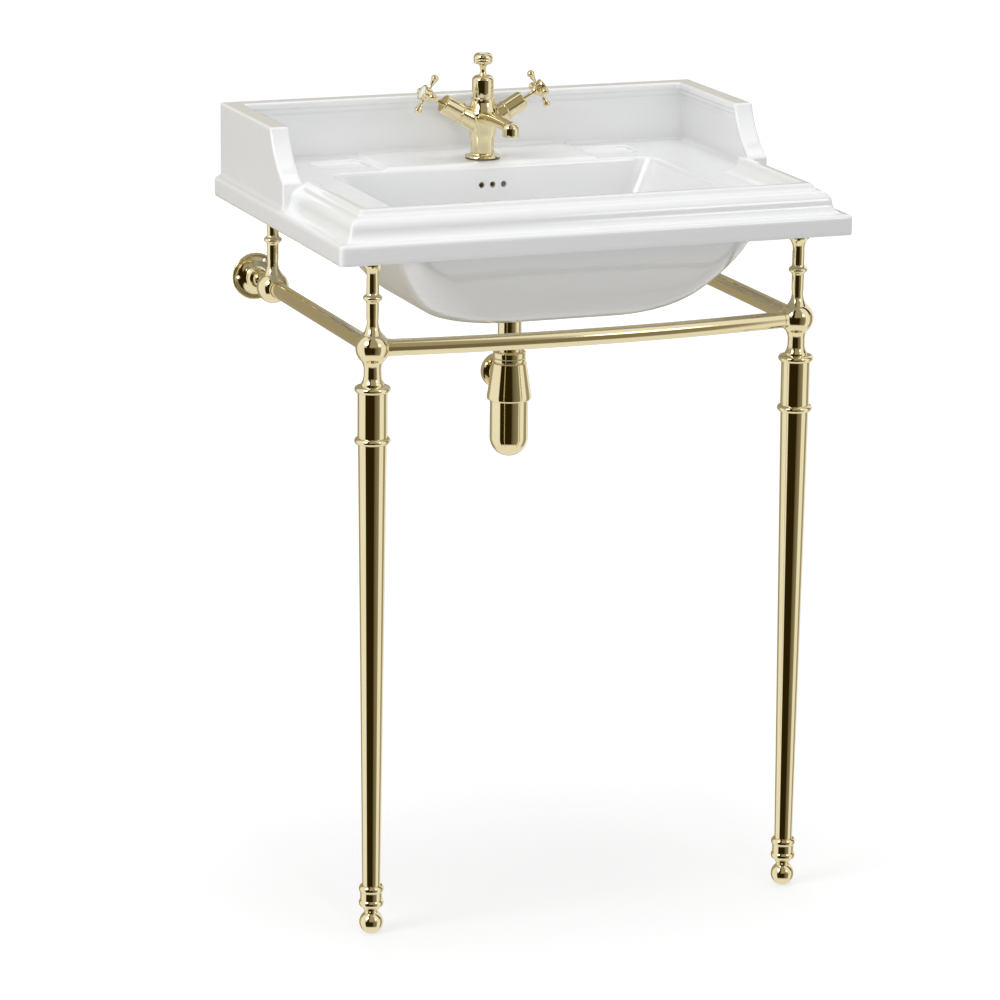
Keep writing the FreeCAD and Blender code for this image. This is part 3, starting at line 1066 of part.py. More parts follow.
def make_crosshead(side):
    """Four teardrop arms on a turned hub, recessed at its outer end for a screw and an index disc."""
    axis = arm_axis(side)
    crossing = V(0, TAP_Y, PLATFORM_TOP + ARM_CROSSING)
    centre = crossing + axis * HUB_DISTANCE
    inner, outer = HUB_DISTANCE - HUB_LENGTH / 2, HUB_DISTANCE + HUB_LENGTH / 2
    disc_seat = outer - INDEX_THICKNESS
    hub = on_arm(side, [
        (HUB_RADIUS * 0.62, inner), (HUB_RADIUS, inner + HUB_LENGTH * 0.28, 0.6), (HUB_RADIUS, disc_seat - 2),
        (INDEX_RADIUS + 1.4, disc_seat), (INDEX_RADIUS + 1.4, outer - 0.6), (INDEX_RADIUS + 0.6, outer, 0.2)])
    shapes = [hub]
    across = V(0, 1, 0)
    for direction in (across, across * -1, axis.cross(across), axis.cross(across) * -1):
        tip = HANDLE_ARM_RADIUS * 0.7
        drop = HANDLE_REACH + math.sqrt(HANDLE_BALL_RADIUS ** 2 - tip ** 2)
        rise = HANDLE_REACH - HANDLE_BALL_RADIUS * 1.3
        bulge = arc_rise(HANDLE_BALL_RADIUS, (HANDLE_BALL_RADIUS, HANDLE_REACH), (tip, drop))
        points = [(HANDLE_ARM_RADIUS * 1.6, HUB_RADIUS * 0.4), (HANDLE_ARM_RADIUS * 0.85, HUB_RADIUS + 3, 0.3),
                  (HANDLE_ARM_RADIUS * 1.4, rise), (HANDLE_BALL_RADIUS, HANDLE_REACH, 0.3),
                  (tip, drop, -bulge)]
        shapes.append(turned(points, 0, centre, direction))
    cuts = [
        on_arm(side, [(VALVE_SPINDLE_RADIUS + SLIP, inner - 1), (VALVE_SPINDLE_RADIUS + SLIP, HUB_DISTANCE + HUB_LENGTH * 0.1)]),
        on_arm(side, [(1.2, HUB_DISTANCE), (1.2, outer)]),
        on_arm(side, [(3.2, disc_seat - 3), (3.2, outer + 1)]),
        on_arm(side, [(INDEX_RADIUS + SLIP, disc_seat), (INDEX_RADIUS + SLIP, outer + 1)]),
    ]
    return joined(shapes).cut(cuts)


def make_index(side):
    """Glazed white disc closing the hub; it domes a little."""
    outer = HUB_DISTANCE + HUB_LENGTH / 2
    seat = outer - INDEX_THICKNESS
    return on_arm(side, [(INDEX_RADIUS, seat)] + dome(INDEX_RADIUS, outer - 0.6, outer + 0.6))


def make_handle_screw(side):
    """Small screw under the index disc, through the hub into the spindle."""
    seat = HUB_DISTANCE + HUB_LENGTH / 2 - INDEX_THICKNESS
    return on_arm(side, [(1.1, HUB_DISTANCE - HUB_LENGTH * 0.3), (1.1, seat - 3), (3.0, seat - 3), (3.0, seat - 0.5)])


# ---- lift knob, rod and strap ----
def make_lift_knob():
    """Mushroom knob standing on the dome."""
    low, r = DOME_TOP, KNOB_RADIUS
    top = low + KNOB_HEIGHT
    rod_seat = low + KNOB_HEIGHT * 0.6
    knob = on_tap([
        (KNOB_NECK_RADIUS * 1.5, low), (KNOB_NECK_RADIUS, low + KNOB_HEIGHT * 0.3, 0.7),
        (KNOB_NECK_RADIUS * 1.2, low + KNOB_HEIGHT * 0.38), (r * 0.72, low + KNOB_HEIGHT * 0.5, 1.2),
        (r, low + KNOB_HEIGHT * 0.7, -1.5), (KNOB_CAP_RADIUS + 0.8, top - 0.8, -2.1)])
    cap_seat = rod(KNOB_CAP_RADIUS + SLIP, V(0, TAP_Y, top - 3), V(0, TAP_Y, top + 1))
    rod_bore = rod(LIFT_ROD_RADIUS + SLIP, V(0, TAP_Y, low - 1), V(0, TAP_Y, rod_seat))
    return knob.cut([cap_seat, rod_bore])


def make_lift_knob_cap():
    """Glazed white button let into the knob."""
    top = DOME_TOP + KNOB_HEIGHT
    return on_tap([(KNOB_CAP_RADIUS, top - 3)] + dome(KNOB_CAP_RADIUS, top - 1.2, top))


def make_lift_rod():
    """Thin rod from the knob down through the tap to the strap."""
    low = PIVOT_HEIGHT + 3 * STRAP_BLOCK
    return rod(LIFT_ROD_RADIUS, V(0, TAP_Y, low), V(0, TAP_Y, DOME_TOP + KNOB_HEIGHT * 0.6))


def make_lift_strap():
    """Clamp block on the lift rod with a flat strap down to the pivot rod."""
    low = PIVOT_HEIGHT + 3 * STRAP_BLOCK
    half, back = STRAP_BLOCK / 2, STRAP_Y + STRAP_THICKNESS / 2
    clamp = block((-half, TAP_Y - half, low), (half, back, low + STRAP_BLOCK))
    strap = block((-STRAP_WIDTH / 2, back - STRAP_THICKNESS, PIVOT_HEIGHT - STRAP_WIDTH * 0.6),
                  (STRAP_WIDTH / 2, back, low + STRAP_BLOCK))
    eye = rod(PIVOT_ROD_RADIUS + 2.5 * REST_GAP, V(0, TAP_Y - half, PIVOT_HEIGHT), V(0, back + 1, PIVOT_HEIGHT))
    bore = rod(LIFT_ROD_RADIUS + SLIP, V(0, TAP_Y, low - 1), V(0, TAP_Y, low + STRAP_BLOCK + 1))
    thread = rod(1.5 + SLIP, V(0, TAP_Y, low + half), V(STRAP_BLOCK, TAP_Y, low + half))
    return joined([clamp, strap]).cut([eye, bore, thread])


def make_strap_screw():
    """Thumbscrew that clamps the strap's block to the lift rod."""
    z = PIVOT_HEIGHT + 3.5 * STRAP_BLOCK
    half = STRAP_BLOCK / 2
    return turned([(1.5, LIFT_ROD_RADIUS + SLIP), (1.5, half), (4.2, half), (4.2, half + 4), (3.4, half + 5)],
                  0, V(0, TAP_Y, z), V(1, 0, 0))


def make_spring_clip():
    """Folded spring plate that grips the strap at the pivot rod."""
    t, half = CLIP_THICKNESS, STRAP_WIDTH / 2 - 1
    front, back = STRAP_Y - STRAP_THICKNESS / 2, STRAP_Y + STRAP_THICKNESS / 2
    low, high = PIVOT_HEIGHT - STRAP_WIDTH * 0.6, PIVOT_HEIGHT + STRAP_WIDTH * 0.6
    leaves = [block((-half, front - t, low - t), (half, front, high)), block((-half, back, low - t), (half, back + t, high))]
    fold = block((-half, front - t, low - t), (half, back + t, low))
    eye = rod(PIVOT_ROD_RADIUS + 3 * REST_GAP, V(0, front - 2 * t, PIVOT_HEIGHT), V(0, back + 2 * t, PIVOT_HEIGHT))
    return joined(leaves + [fold]).cut(eye)


# ---- every piece, by name ----
def all_pieces():
    pieces = {
        "basin": make_basin(),
        "front_rail": make_front_rail(),
        "spindle_pads": make_spindle_pads(),
        "waste_flange": make_waste_flange(),
        "waste_washer": make_waste_washer(),
        "waste_backnut": make_waste_backnut(),
        "waste_tee": make_waste_tee(),
        "pivot_nut": make_pivot_nut(),
        "pivot_rod": make_pivot_rod(),
        "waste_plug": make_waste_plug(),
        "plug_seal": make_plug_seal(),
        "tail_pipe": make_tail_pipe(),
        "trap_inlet_nut": make_trap_inlet_nut(),
        "trap_body": make_trap_body(),
        "trap_bottle": make_trap_bottle(),
        "trap_dip_tube": make_trap_dip_tube(),
        "trap_outlet_nut": make_trap_outlet_nut(),
        "tap_body": make_tap_body(),
        "tap_base_flange": make_tap_base_flange(),
        "tap_base_seal": make_tap_base_seal(),
        "horseshoe_washer": make_horseshoe_washer(),
        "tap_backnut": make_tap_backnut(),
        "supply_tails": make_supply_tails(),
        "spout": make_spout(),
        "spout_aerator": make_spout_aerator(),
        "centre_dome": make_centre_dome(),
        "lift_knob": make_lift_knob(),
        "lift_knob_cap": make_lift_knob_cap(),
        "lift_rod": make_lift_rod(),
        "lift_strap": make_lift_strap(),
        "strap_screw": make_strap_screw(),
        "spring_clip": make_spring_clip(),
    }
    for name, side in SIDES.items():
        pieces[name + "_leg"] = make_leg(side)
        pieces[name + "_foot"] = make_foot(side)
        pieces[name + "_corner_ball"] = make_corner_ball(side)
        pieces[name + "_front_spindle"] = make_spindle(side, FRONT_Y)
        pieces[name + "_rear_spindle"] = make_spindle(side, REAR_Y)
        pieces[name + "_rail"] = make_side_rail(side)
        pieces[name + "_rear_ball"] = make_rear_ball(side)
        pieces[name + "_wall_rose"] = make_wall_rose(side)
        pieces[name + "_valve_cover"] = make_valve_cover(side)
        pieces[name + "_valve_cartridge"] = make_valve_cartridge(side)
        pieces[name + "_valve_spindle"] = make_valve_spindle(side)
        pieces[name + "_crosshead"] = make_crosshead(side)
        pieces[name + "_index"] = make_index(side)
        pieces[name + "_handle_screw"] = make_handle_screw(side)
    return pieces


os.makedirs("parts", exist_ok=True)
for node, shape in all_pieces().items():
    shape.exportStep("parts/" + node + ".step")
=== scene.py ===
import bmesh
import bpy
import math
import numpy as np
from mathutils import Matrix, Vector


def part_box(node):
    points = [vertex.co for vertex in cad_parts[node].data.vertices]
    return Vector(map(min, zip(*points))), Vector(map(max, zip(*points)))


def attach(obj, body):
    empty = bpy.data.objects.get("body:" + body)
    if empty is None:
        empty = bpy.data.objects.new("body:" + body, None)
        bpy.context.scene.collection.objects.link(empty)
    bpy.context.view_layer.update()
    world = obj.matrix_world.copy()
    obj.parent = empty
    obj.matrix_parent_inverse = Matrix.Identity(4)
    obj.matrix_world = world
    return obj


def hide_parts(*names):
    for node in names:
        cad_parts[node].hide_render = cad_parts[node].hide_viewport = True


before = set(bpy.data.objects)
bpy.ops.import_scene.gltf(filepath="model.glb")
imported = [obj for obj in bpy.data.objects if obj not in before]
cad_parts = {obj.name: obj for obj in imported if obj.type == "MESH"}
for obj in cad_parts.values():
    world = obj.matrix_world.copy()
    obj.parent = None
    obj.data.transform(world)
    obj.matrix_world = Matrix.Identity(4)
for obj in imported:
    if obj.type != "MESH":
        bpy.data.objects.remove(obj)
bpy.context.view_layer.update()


# ---- the view ----
# The whole sink from a little above and to its left, with a long lens from about five metres, so the
# upright legs stay nearly parallel.
VIEW_FROM = Vector((-1.949, -5.009, 1.830))
VIEW_TURN = math.radians(20.94)
VIEW_DIP = math.radians(14.23)
VIEW_ROLL = math.radians(0.56)
VIEW_FOCUS = 4.45
SENSOR_WIDTH = 36.0
VIEW_REACH = 200.0

ahead = Vector((math.sin(VIEW_TURN) * math.cos(VIEW_DIP),
                math.cos(VIEW_TURN) * math.cos(VIEW_DIP),
                -math.sin(VIEW_DIP)))
level = Vector((math.cos(VIEW_TURN), -math.sin(VIEW_TURN), 0))
over = level.cross(ahead)
across = level * math.cos(VIEW_ROLL) + over * math.sin(VIEW_ROLL)
upwards = over * math.cos(VIEW_ROLL) - level * math.sin(VIEW_ROLL)
camera = bpy.data.objects.new("view", bpy.data.cameras.new("view"))
bpy.context.scene.collection.objects.link(camera)
facing = Matrix((across, upwards, -ahead)).transposed().to_4x4()
camera.matrix_world = Matrix.Translation(VIEW_FROM) @ facing
camera.data.sensor_width = SENSOR_WIDTH
camera.data.lens = VIEW_FOCUS * SENSOR_WIDTH
camera.data.clip_end = VIEW_REACH
bpy.context.scene.camera = camera
bpy.context.scene.view_settings.view_transform = "Standard"


# ---- the studio ----
# A white sweep of floor, and soft light from above and all round. Polished metal mirrors a white room with
# a dark and a grey screen beside the camera and dim walls to the right and behind, which give it its dark
# bands. Each ring lists places round the room, from 0 to 1, with the colour there.
ROOM_LIGHT = 0.50
BARE_WALL = (1.0, 1.0, 1.0, 1)
DARK_SCREEN = (0.026, 0.0165, 0.003, 1)
DEEP_SCREEN = (0.165, 0.145, 0.095, 1)
GREY_SCREEN = (0.31, 0.275, 0.19, 1)
DIM_WALL = (0.40, 0.36, 0.26, 1)
ROOM_LOW = (0.95, 0.94, 0.92, 1)
SCREEN_RING = [
    (0.0, BARE_WALL), (0.032, BARE_WALL), (0.044, DARK_SCREEN), (0.23, DARK_SCREEN),
    (0.26, DEEP_SCREEN), (0.35, GREY_SCREEN), (0.368, BARE_WALL), (0.462, BARE_WALL),
    (0.478, DIM_WALL), (0.545, DIM_WALL), (0.565, BARE_WALL), (0.63, BARE_WALL),
    (0.66, DIM_WALL), (0.83, DIM_WALL), (0.87, BARE_WALL), (1.0, BARE_WALL)]
CEILING_RING = [
    (0.0, BARE_WALL), (0.07, BARE_WALL), (0.09, DARK_SCREEN), (0.13, DARK_SCREEN),
    (0.15, DIM_WALL), (0.30, DIM_WALL), (0.33, BARE_WALL), (0.45, BARE_WALL),
    (0.47, DARK_SCREEN), (0.51, DARK_SCREEN), (0.53, BARE_WALL), (0.63, BARE_WALL),
    (0.66, DIM_WALL), (0.85, DIM_WALL), (0.89, BARE_WALL), (1.0, BARE_WALL)]
LOW_FROM, LOW_TO = -0.55, -0.72
CEILING_FROM, CEILING_TO = 0.12, 0.3
AIM = Vector((0, 0, 0.7))
LAMPS = [  # name, place, width, power, mirrored in metal
    ("key lamp", (-4.0, -1.6, 3.6), 2.2, 50.0, True),
    ("fill lamp", (1.9, -3.6, 2.4), 1.0, 8.0, True),
    ("top lamp", (0.2, 0.2, 4.2), 2.4, 60.0, False),
    ("back lamp", (0.6, 4.4, 1.0), 1.6, 30.0, False),
    ("side lamp", (-4.0, -0.6, 0.75), 1.0, 46.0, False),
    ("front lamp", (-0.2, -4.8, 1.4), 1.0, 34.0, False)]
FLOOR_REACH = 60.0
PAPER = (0.44, 0.44, 0.44, 1)
GLOW_NEAR, GLOW_FAR = 0.61, 0.79
GLOW_RISES_FROM, GLOW_RISES_TO = 1.0, 5.0


def node_setup(tree, kind, values=None, **settings):
    """A node with its settings and the values of its inputs."""
    node = tree.nodes.new(kind)
    for key, value in settings.items():
        setattr(node, key, value)
    for key, value in (values or {}).items():
        node.inputs[key].default_value = value
    return node


world = bpy.data.worlds.new("white room")
bpy.context.scene.world = world
world.use_nodes = True
room = world.node_tree
room.nodes.clear()
ray = node_setup(room, "ShaderNodeLightPath")
way = node_setup(room, "ShaderNodeTexCoord")
parts = node_setup(room, "ShaderNodeSeparateXYZ")
turn = node_setup(room, "ShaderNodeMath", operation="ARCTAN2")
share = node_setup(room, "ShaderNodeMapRange", {"From Min": -math.pi, "From Max": math.pi})
screens = node_setup(room, "ShaderNodeValToRGB")
ceiling = node_setup(room, "ShaderNodeValToRGB")
for ring, stops in ((screens, SCREEN_RING), (ceiling, CEILING_RING)):
    for k, (place, colour) in enumerate(stops):
        stop = ring.color_ramp.elements[k] if k < 2 else ring.color_ramp.elements.new(place)
        stop.position = place
        stop.color = colour
low_part = node_setup(room, "ShaderNodeMapRange", {"From Min": LOW_FROM, "From Max": LOW_TO},
                      interpolation_type="SMOOTHSTEP")
high_part = node_setup(room, "ShaderNodeMapRange", {"From Min": CEILING_FROM, "From Max": CEILING_TO},
                       interpolation_type="SMOOTHSTEP")
with_low = node_setup(room, "ShaderNodeMix", {"B": ROOM_LOW}, data_type="RGBA")
with_high = node_setup(room, "ShaderNodeMix", data_type="RGBA")
mirrored = node_setup(room, "ShaderNodeBackground", {"Strength": 1.0})
lit = node_setup(room, "ShaderNodeBackground", {"Color": (1, 1, 1, 1), "Strength": ROOM_LIGHT})
seen = node_setup(room, "ShaderNodeBackground", {"Color": (1, 1, 1, 1), "Strength": 1.0})
first = node_setup(room, "ShaderNodeMixShader")
second = node_setup(room, "ShaderNodeMixShader")
clear_view = node_setup(room, "ShaderNodeMath", operation="MAXIMUM")
sky = node_setup(room, "ShaderNodeOutputWorld")
room.links.new(way.outputs["Generated"], parts.inputs[0])
room.links.new(parts.outputs["Y"], turn.inputs[0])
room.links.new(parts.outputs["X"], turn.inputs[1])
room.links.new(turn.outputs[0], share.inputs["Value"])
room.links.new(share.outputs[0], screens.inputs[0])
room.links.new(share.outputs[0], ceiling.inputs[0])
room.links.new(parts.outputs["Z"], low_part.inputs["Value"])
room.links.new(parts.outputs["Z"], high_part.inputs["Value"])
room.links.new(screens.outputs["Color"], with_low.inputs["A"])
room.links.new(low_part.outputs[0], with_low.inputs["Factor"])
room.links.new(with_low.outputs["Result"], with_high.inputs["A"])
room.links.new(ceiling.outputs["Color"], with_high.inputs["B"])
room.links.new(high_part.outputs[0], with_high.inputs["Factor"])
room.links.new(with_high.outputs["Result"], mirrored.inputs["Color"])
room.links.new(ray.outputs["Is Glossy Ray"], first.inputs[0])
room.links.new(lit.outputs[0], first.inputs[1])
room.links.new(mirrored.outputs[0], first.inputs[2])
room.links.new(ray.outputs["Is Camera Ray"], clear_view.inputs[0])
room.links.new(ray.outputs["Is Transmission Ray"], clear_view.inputs[1])
room.links.new(clear_view.outputs[0], second.inputs[0])
room.links.new(first.outputs[0], second.inputs[1])
room.links.new(seen.outputs[0], second.inputs[2])
room.links.new(second.outputs[0], sky.inputs[0])

for name, place, width, power, mirrored_too in LAMPS:
    lamp = bpy.data.objects.new(name, bpy.data.lights.new(name, "AREA"))
    lamp.data.shape = "DISK"
    lamp.data.size = width
    lamp.data.energy = power
    lamp.visible_glossy = mirrored_too
    lamp.location = place
    lamp.rotation_euler = (AIM - Vector(place)).to_track_quat("-Z", "Y").to_euler()
    bpy.context.scene.collection.objects.link(lamp)

floor_mesh = bpy.data.meshes.new("studio_floor")
corners = [(x * FLOOR_REACH, y * FLOOR_REACH, 0) for x, y in ((-1, -1), (1, -1), (1, 1), (-1, 1))]
floor_mesh.from_pydata(corners, [], [(0, 1, 2, 3)])
floor = bpy.data.objects.new("studio_floor", floor_mesh)
bpy.context.scene.collection.objects.link(floor)
floor.visible_glossy = False
paper = bpy.data.materials.new("white paper sweep")
paper.use_nodes = True
sheet = paper.node_tree
sheet.nodes.clear()
matt = node_setup(sheet, "ShaderNodeBsdfDiffuse", {"Color": PAPER})
bright = node_setup(sheet, "ShaderNodeEmission", {"Color": (1, 1, 1, 1)})
spot = node_setup(sheet, "ShaderNodeTexCoord")
reach = node_setup(sheet, "ShaderNodeVectorMath", operation="LENGTH")
glow = node_setup(sheet, "ShaderNodeMapRange", {"From Min": GLOW_RISES_FROM, "From Max": GLOW_RISES_TO,
                                                "To Min": GLOW_NEAR, "To Max": GLOW_FAR})
sight = node_setup(sheet, "ShaderNodeLightPath")
seen_glow = node_setup(sheet, "ShaderNodeMath", operation="MULTIPLY")
both = node_setup(sheet, "ShaderNodeAddShader")
ground = node_setup(sheet, "ShaderNodeOutputMaterial")
sheet.links.new(spot.outputs["Object"], reach.inputs[0])
sheet.links.new(reach.outputs["Value"], glow.inputs["Value"])
sheet.links.new(glow.outputs[0], seen_glow.inputs[0])
sheet.links.new(sight.outputs["Is Camera Ray"], seen_glow.inputs[1])
sheet.links.new(seen_glow.outputs[0], bright.inputs["Strength"])
sheet.links.new(matt.outputs[0], both.inputs[0])
sheet.links.new(bright.outputs[0], both.inputs[1])
sheet.links.new(both.outputs[0], ground.inputs[0])
floor_mesh.materials.append(paper)


# ---- the basin ----
# One casting of vitreous china: slab with an ogee moulding and raised rim, bowl, tap platform, soap
# dishes and the low wall round three sides. It is slip cast, sponged soft at its edges, glazed and fired.
CASTING_GRAIN = 0.002
CASTING_FACES = 190000
GLAZE_WHITE = (0.85, 0.855, 0.857, 1)
GLAZE_POOLED = (0.822, 0.83, 0.837, 1)
GLAZE_RIPPLE = 0.0002
SPONGE_STRENGTH = 0.5
SPONGE_PASSES = 3
WELD = 1e-5


def new_object(name, mesh):
    """An object at the origin, in the scene."""
    piece = bpy.data.objects.new(name, mesh)
    bpy.context.scene.collection.objects.link(piece)
    return piece


def copied(name, nodes):
    """A new mesh from the loose triangles of solids, its doubles merged and its stored normals dropped."""
    shell = bmesh.new()
    for node in nodes:
        shell.from_mesh(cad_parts[node].data)
    bmesh.ops.remove_doubles(shell, verts=shell.verts, dist=WELD)
    for face in shell.faces:
        face.smooth = True
        face.material_index = 0
    mesh = bpy.data.meshes.new(name)
    shell.to_mesh(mesh)
    shell.free()
    stored = mesh.attributes.get("custom_normal")
    if stored:
        mesh.attributes.remove(stored)
    return mesh


def settled(name, piece):
    """The piece with its modifiers applied, as a plain mesh of its own."""
    ready = piece.evaluated_get(bpy.context.evaluated_depsgraph_get())
    mesh = bpy.data.meshes.new_from_object(ready)
    mesh.name = name
    bpy.data.objects.remove(piece)
    return new_object(name, mesh)


def socket(group, name, kind, default=None, leaves=False):
    """A named input or output on a node group."""
    made = group.interface.new_socket(name, in_out="OUTPUT" if leaves else "INPUT", socket_type=kind)
    if default is not None:
        made.default_value = default


def glaze_skin():
    """Fired glaze: bluish in random cloudy patches where it pooled thicker, and its surface is never quite
    flat.
    """
    group = bpy.data.node_groups.new("glaze skin", "ShaderNodeTree")
    socket(group, "Glaze", "NodeSocketColor", GLAZE_WHITE)
    socket(group, "Pooled", "NodeSocketColor", GLAZE_POOLED)
    socket(group, "Ripple size", "NodeSocketFloat", 38.0)
    socket(group, "Color", "NodeSocketColor", leaves=True)
    socket(group, "Roughness", "NodeSocketFloat", leaves=True)
    socket(group, "Height", "NodeSocketFloat", leaves=True)
    enter = node_setup(group, "NodeGroupInput")
    leave = node_setup(group, "NodeGroupOutput")
    place = node_setup(group, "ShaderNodeTexCoord")
    cloud = node_setup(group, "ShaderNodeTexNoise", {"Scale": 5.0, "Detail": 3.0})
    ripple = node_setup(group, "ShaderNodeTexNoise", {"Detail": 2.0})
    pool = node_setup(group, "ShaderNodeMapRange", {"From Min": 0.35, "From Max": 0.75, "To Max": 0.5})
    mix = node_setup(group, "ShaderNodeMix", data_type="RGBA")
    sheen = node_setup(group, "ShaderNodeMapRange", {"To Min": 0.09, "To Max": 0.15})
    group.links.new(place.outputs["Object"], cloud.inputs["Vector"])
    group.links.new(place.outputs["Object"], ripple.inputs["Vector"])
    group.links.new(enter.outputs["Ripple size"], ripple.inputs["Scale"])
    group.links.new(cloud.outputs["Fac"], pool.inputs["Value"])
    group.links.new(pool.outputs[0], mix.inputs["Factor"])
    group.links.new(enter.outputs["Glaze"], mix.inputs["A"])
    group.links.new(enter.outputs["Pooled"], mix.inputs["B"])
    group.links.new(mix.outputs["Result"], leave.inputs["Color"])
    group.links.new(ripple.outputs["Fac"], sheen.inputs["Value"])
    group.links.new(sheen.outputs[0], leave.inputs["Roughness"])
    group.links.new(ripple.outputs["Fac"], leave.inputs["Height"])
    return group


def surfaced(name, group, values, shader_values, depth):
    """A material with its colour, roughness and relief from a finish, and fixed shader values."""
    material = bpy.data.materials.new(name)
    material.use_nodes = True
    tree = material.node_tree
    shader = tree.nodes["Principled BSDF"]
    for key, value in shader_values.items():
        shader.inputs[key].default_value = value
    finish = node_setup(tree, "ShaderNodeGroup", node_tree=group)
    for key, value in values.items():
        finish.inputs[key].default_value = value
    bump = node_setup(tree, "ShaderNodeBump", {"Strength": 1.0, "Distance": depth})
    tree.links.new(finish.outputs["Color"], shader.inputs["Base Color"])
    tree.links.new(finish.outputs["Roughness"], shader.inputs["Roughness"])
    tree.links.new(finish.outputs["Height"], bump.inputs["Height"])
    tree.links.new(bump.outputs[0], shader.inputs["Normal"])
    return material


fired_glaze = glaze_skin()
china = surfaced(
    "glazed china", fired_glaze, {"Glaze": GLAZE_WHITE, "Pooled": GLAZE_POOLED, "Ripple size": 38.0},
    {"IOR": 1.5, "Coat Weight": 0.6, "Coat Roughness": 0.02, "Coat IOR": 1.55}, GLAZE_RIPPLE)
casting = new_object("basin_green", copied("basin_green", ["basin"]))
skin = casting.modifiers.new("cast skin", "REMESH")
skin.mode = "VOXEL"
skin.voxel_size = CASTING_GRAIN
skin.use_smooth_shade = True
sponge = casting.modifiers.new("sponged edges", "SMOOTH")
sponge.factor = SPONGE_STRENGTH
sponge.iterations = SPONGE_PASSES
casting = settled("basin_cast", casting)
casting.data.calc_loop_triangles()
thin = casting.modifiers.new("fewer faces", "DECIMATE")
thin.ratio = min(1.0, CASTING_FACES / len(casting.data.loop_triangles))
casting = settled("basin_casting", casting)
low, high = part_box("basin")
spots = np.empty(len(casting.data.vertices) * 3, np.float32)
casting.data.vertices.foreach_get("co", spots)
spots = np.clip(spots.reshape(-1, 3), np.array(low), np.array(high))
casting.data.vertices.foreach_set("co", spots.reshape(-1))
casting.data.update()
for face in casting.data.polygons:
    face.use_smooth = True
casting.data.materials.clear()
casting.data.materials.append(china)
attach(casting, "frame")
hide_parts("basin")


# ---- the legs and their feet ----
# Turned brass, plated pale gold and polished: a column between two rings, a long taper, and below it a
# ringed ball foot that spigots into the leg.
GOLD = (0.82, 0.725, 0.465, 1)
GOLD_DEEP = (0.77, 0.66, 0.40, 1)
SWIRL_DEPTH = 0.0000005
CREASE = math.radians(32)


def hand_polish():
    """Polished metal: faint cloudy colour, fine swirl marks, and roughness that changes a little."""
    group = bpy.data.node_groups.new("hand polish", "ShaderNodeTree")
    socket(group, "Metal", "NodeSocketColor", GOLD)
    socket(group, "Deeper", "NodeSocketColor", GOLD_DEEP)
    socket(group, "Cloud size", "NodeSocketFloat", 9.0)
    socket(group, "Swirl size", "NodeSocketFloat", 260.0)
    socket(group, "Smoothest", "NodeSocketFloat", 0.02)
    socket(group, "Roughest", "NodeSocketFloat", 0.05)
    socket(group, "Color", "NodeSocketColor", leaves=True)
    socket(group, "Roughness", "NodeSocketFloat", leaves=True)
    socket(group, "Height", "NodeSocketFloat", leaves=True)
    enter = node_setup(group, "NodeGroupInput")
    leave = node_setup(group, "NodeGroupOutput")
    place = node_setup(group, "ShaderNodeTexCoord")
    cloud = node_setup(group, "ShaderNodeTexNoise", {"Detail": 4.0, "Roughness": 0.6})
    swirl = node_setup(group, "ShaderNodeTexNoise", {"Detail": 1.0, "Roughness": 0.4, "Distortion": 0.4})
    patch = node_setup(group, "ShaderNodeMapRange", {"From Min": 0.3, "From Max": 0.8, "To Max": 0.6})
    mix = node_setup(group, "ShaderNodeMix", data_type="RGBA")
    wear = node_setup(group, "ShaderNodeMapRange", {"From Min": 0.3, "From Max": 0.7})
    group.links.new(place.outputs["Object"], cloud.inputs["Vector"])
    group.links.new(place.outputs["Object"], swirl.inputs["Vector"])
    group.links.new(enter.outputs["Cloud size"], cloud.inputs["Scale"])
    group.links.new(enter.outputs["Swirl size"], swirl.inputs["Scale"])
    group.links.new(cloud.outputs["Fac"], patch.inputs["Value"])
    group.links.new(patch.outputs[0], mix.inputs["Factor"])
    group.links.new(enter.outputs["Metal"], mix.inputs["A"])
    group.links.new(enter.outputs["Deeper"], mix.inputs["B"])
    group.links.new(mix.outputs["Result"], leave.inputs["Color"])
    group.links.new(swirl.outputs["Fac"], wear.inputs["Value"])
    group.links.new(enter.outputs["Smoothest"], wear.inputs["To Min"])
    group.links.new(enter.outputs["Roughest"], wear.inputs["To Max"])
    group.links.new(wear.outputs[0], leave.inputs["Roughness"])
    group.links.new(swirl.outputs["Fac"], leave.inputs["Height"])
    return group


def finished(name, nodes, body, material):
    """One piece that stands for solids of the frame, smooth but for its real edges."""
    mesh = copied(name, nodes)
    mesh.set_sharp_from_angle(angle=CREASE)
    mesh.materials.clear()
    mesh.materials.append(material)
    piece = new_object(name, mesh)
    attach(piece, body)
    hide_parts(*nodes)


polish = hand_polish()
gold = surfaced(
    "polished pale gold", polish, {"Metal": GOLD, "Deeper": GOLD_DEEP}, {"Metallic": 1.0}, SWIRL_DEPTH)
for side in ("left", "right"):
    finished("turned_%s_leg" % side, [side + "_leg"], "frame", gold)
    finished("turned_%s_foot" % side, [side + "_foot"], "frame", gold)


# ---- the balls at the corners and the spindles on them ----
# Turned brass balls with bosses for the rails; a spindle stands in each and carries the basin, and each
# rear ball reaches back to the wall.
for side in ("left", "right"):
    finished("turned_%s_corner_ball" % side, [side + "_corner_ball"], "frame", gold)
    finished("turned_%s_rear_ball" % side, [side + "_rear_ball"], "frame", gold)
    for end in ("front", "rear"):
        spindle = "%s_%s_spindle" % (side, end)
        finished("turned_" + spindle, [spindle], "frame", gold)


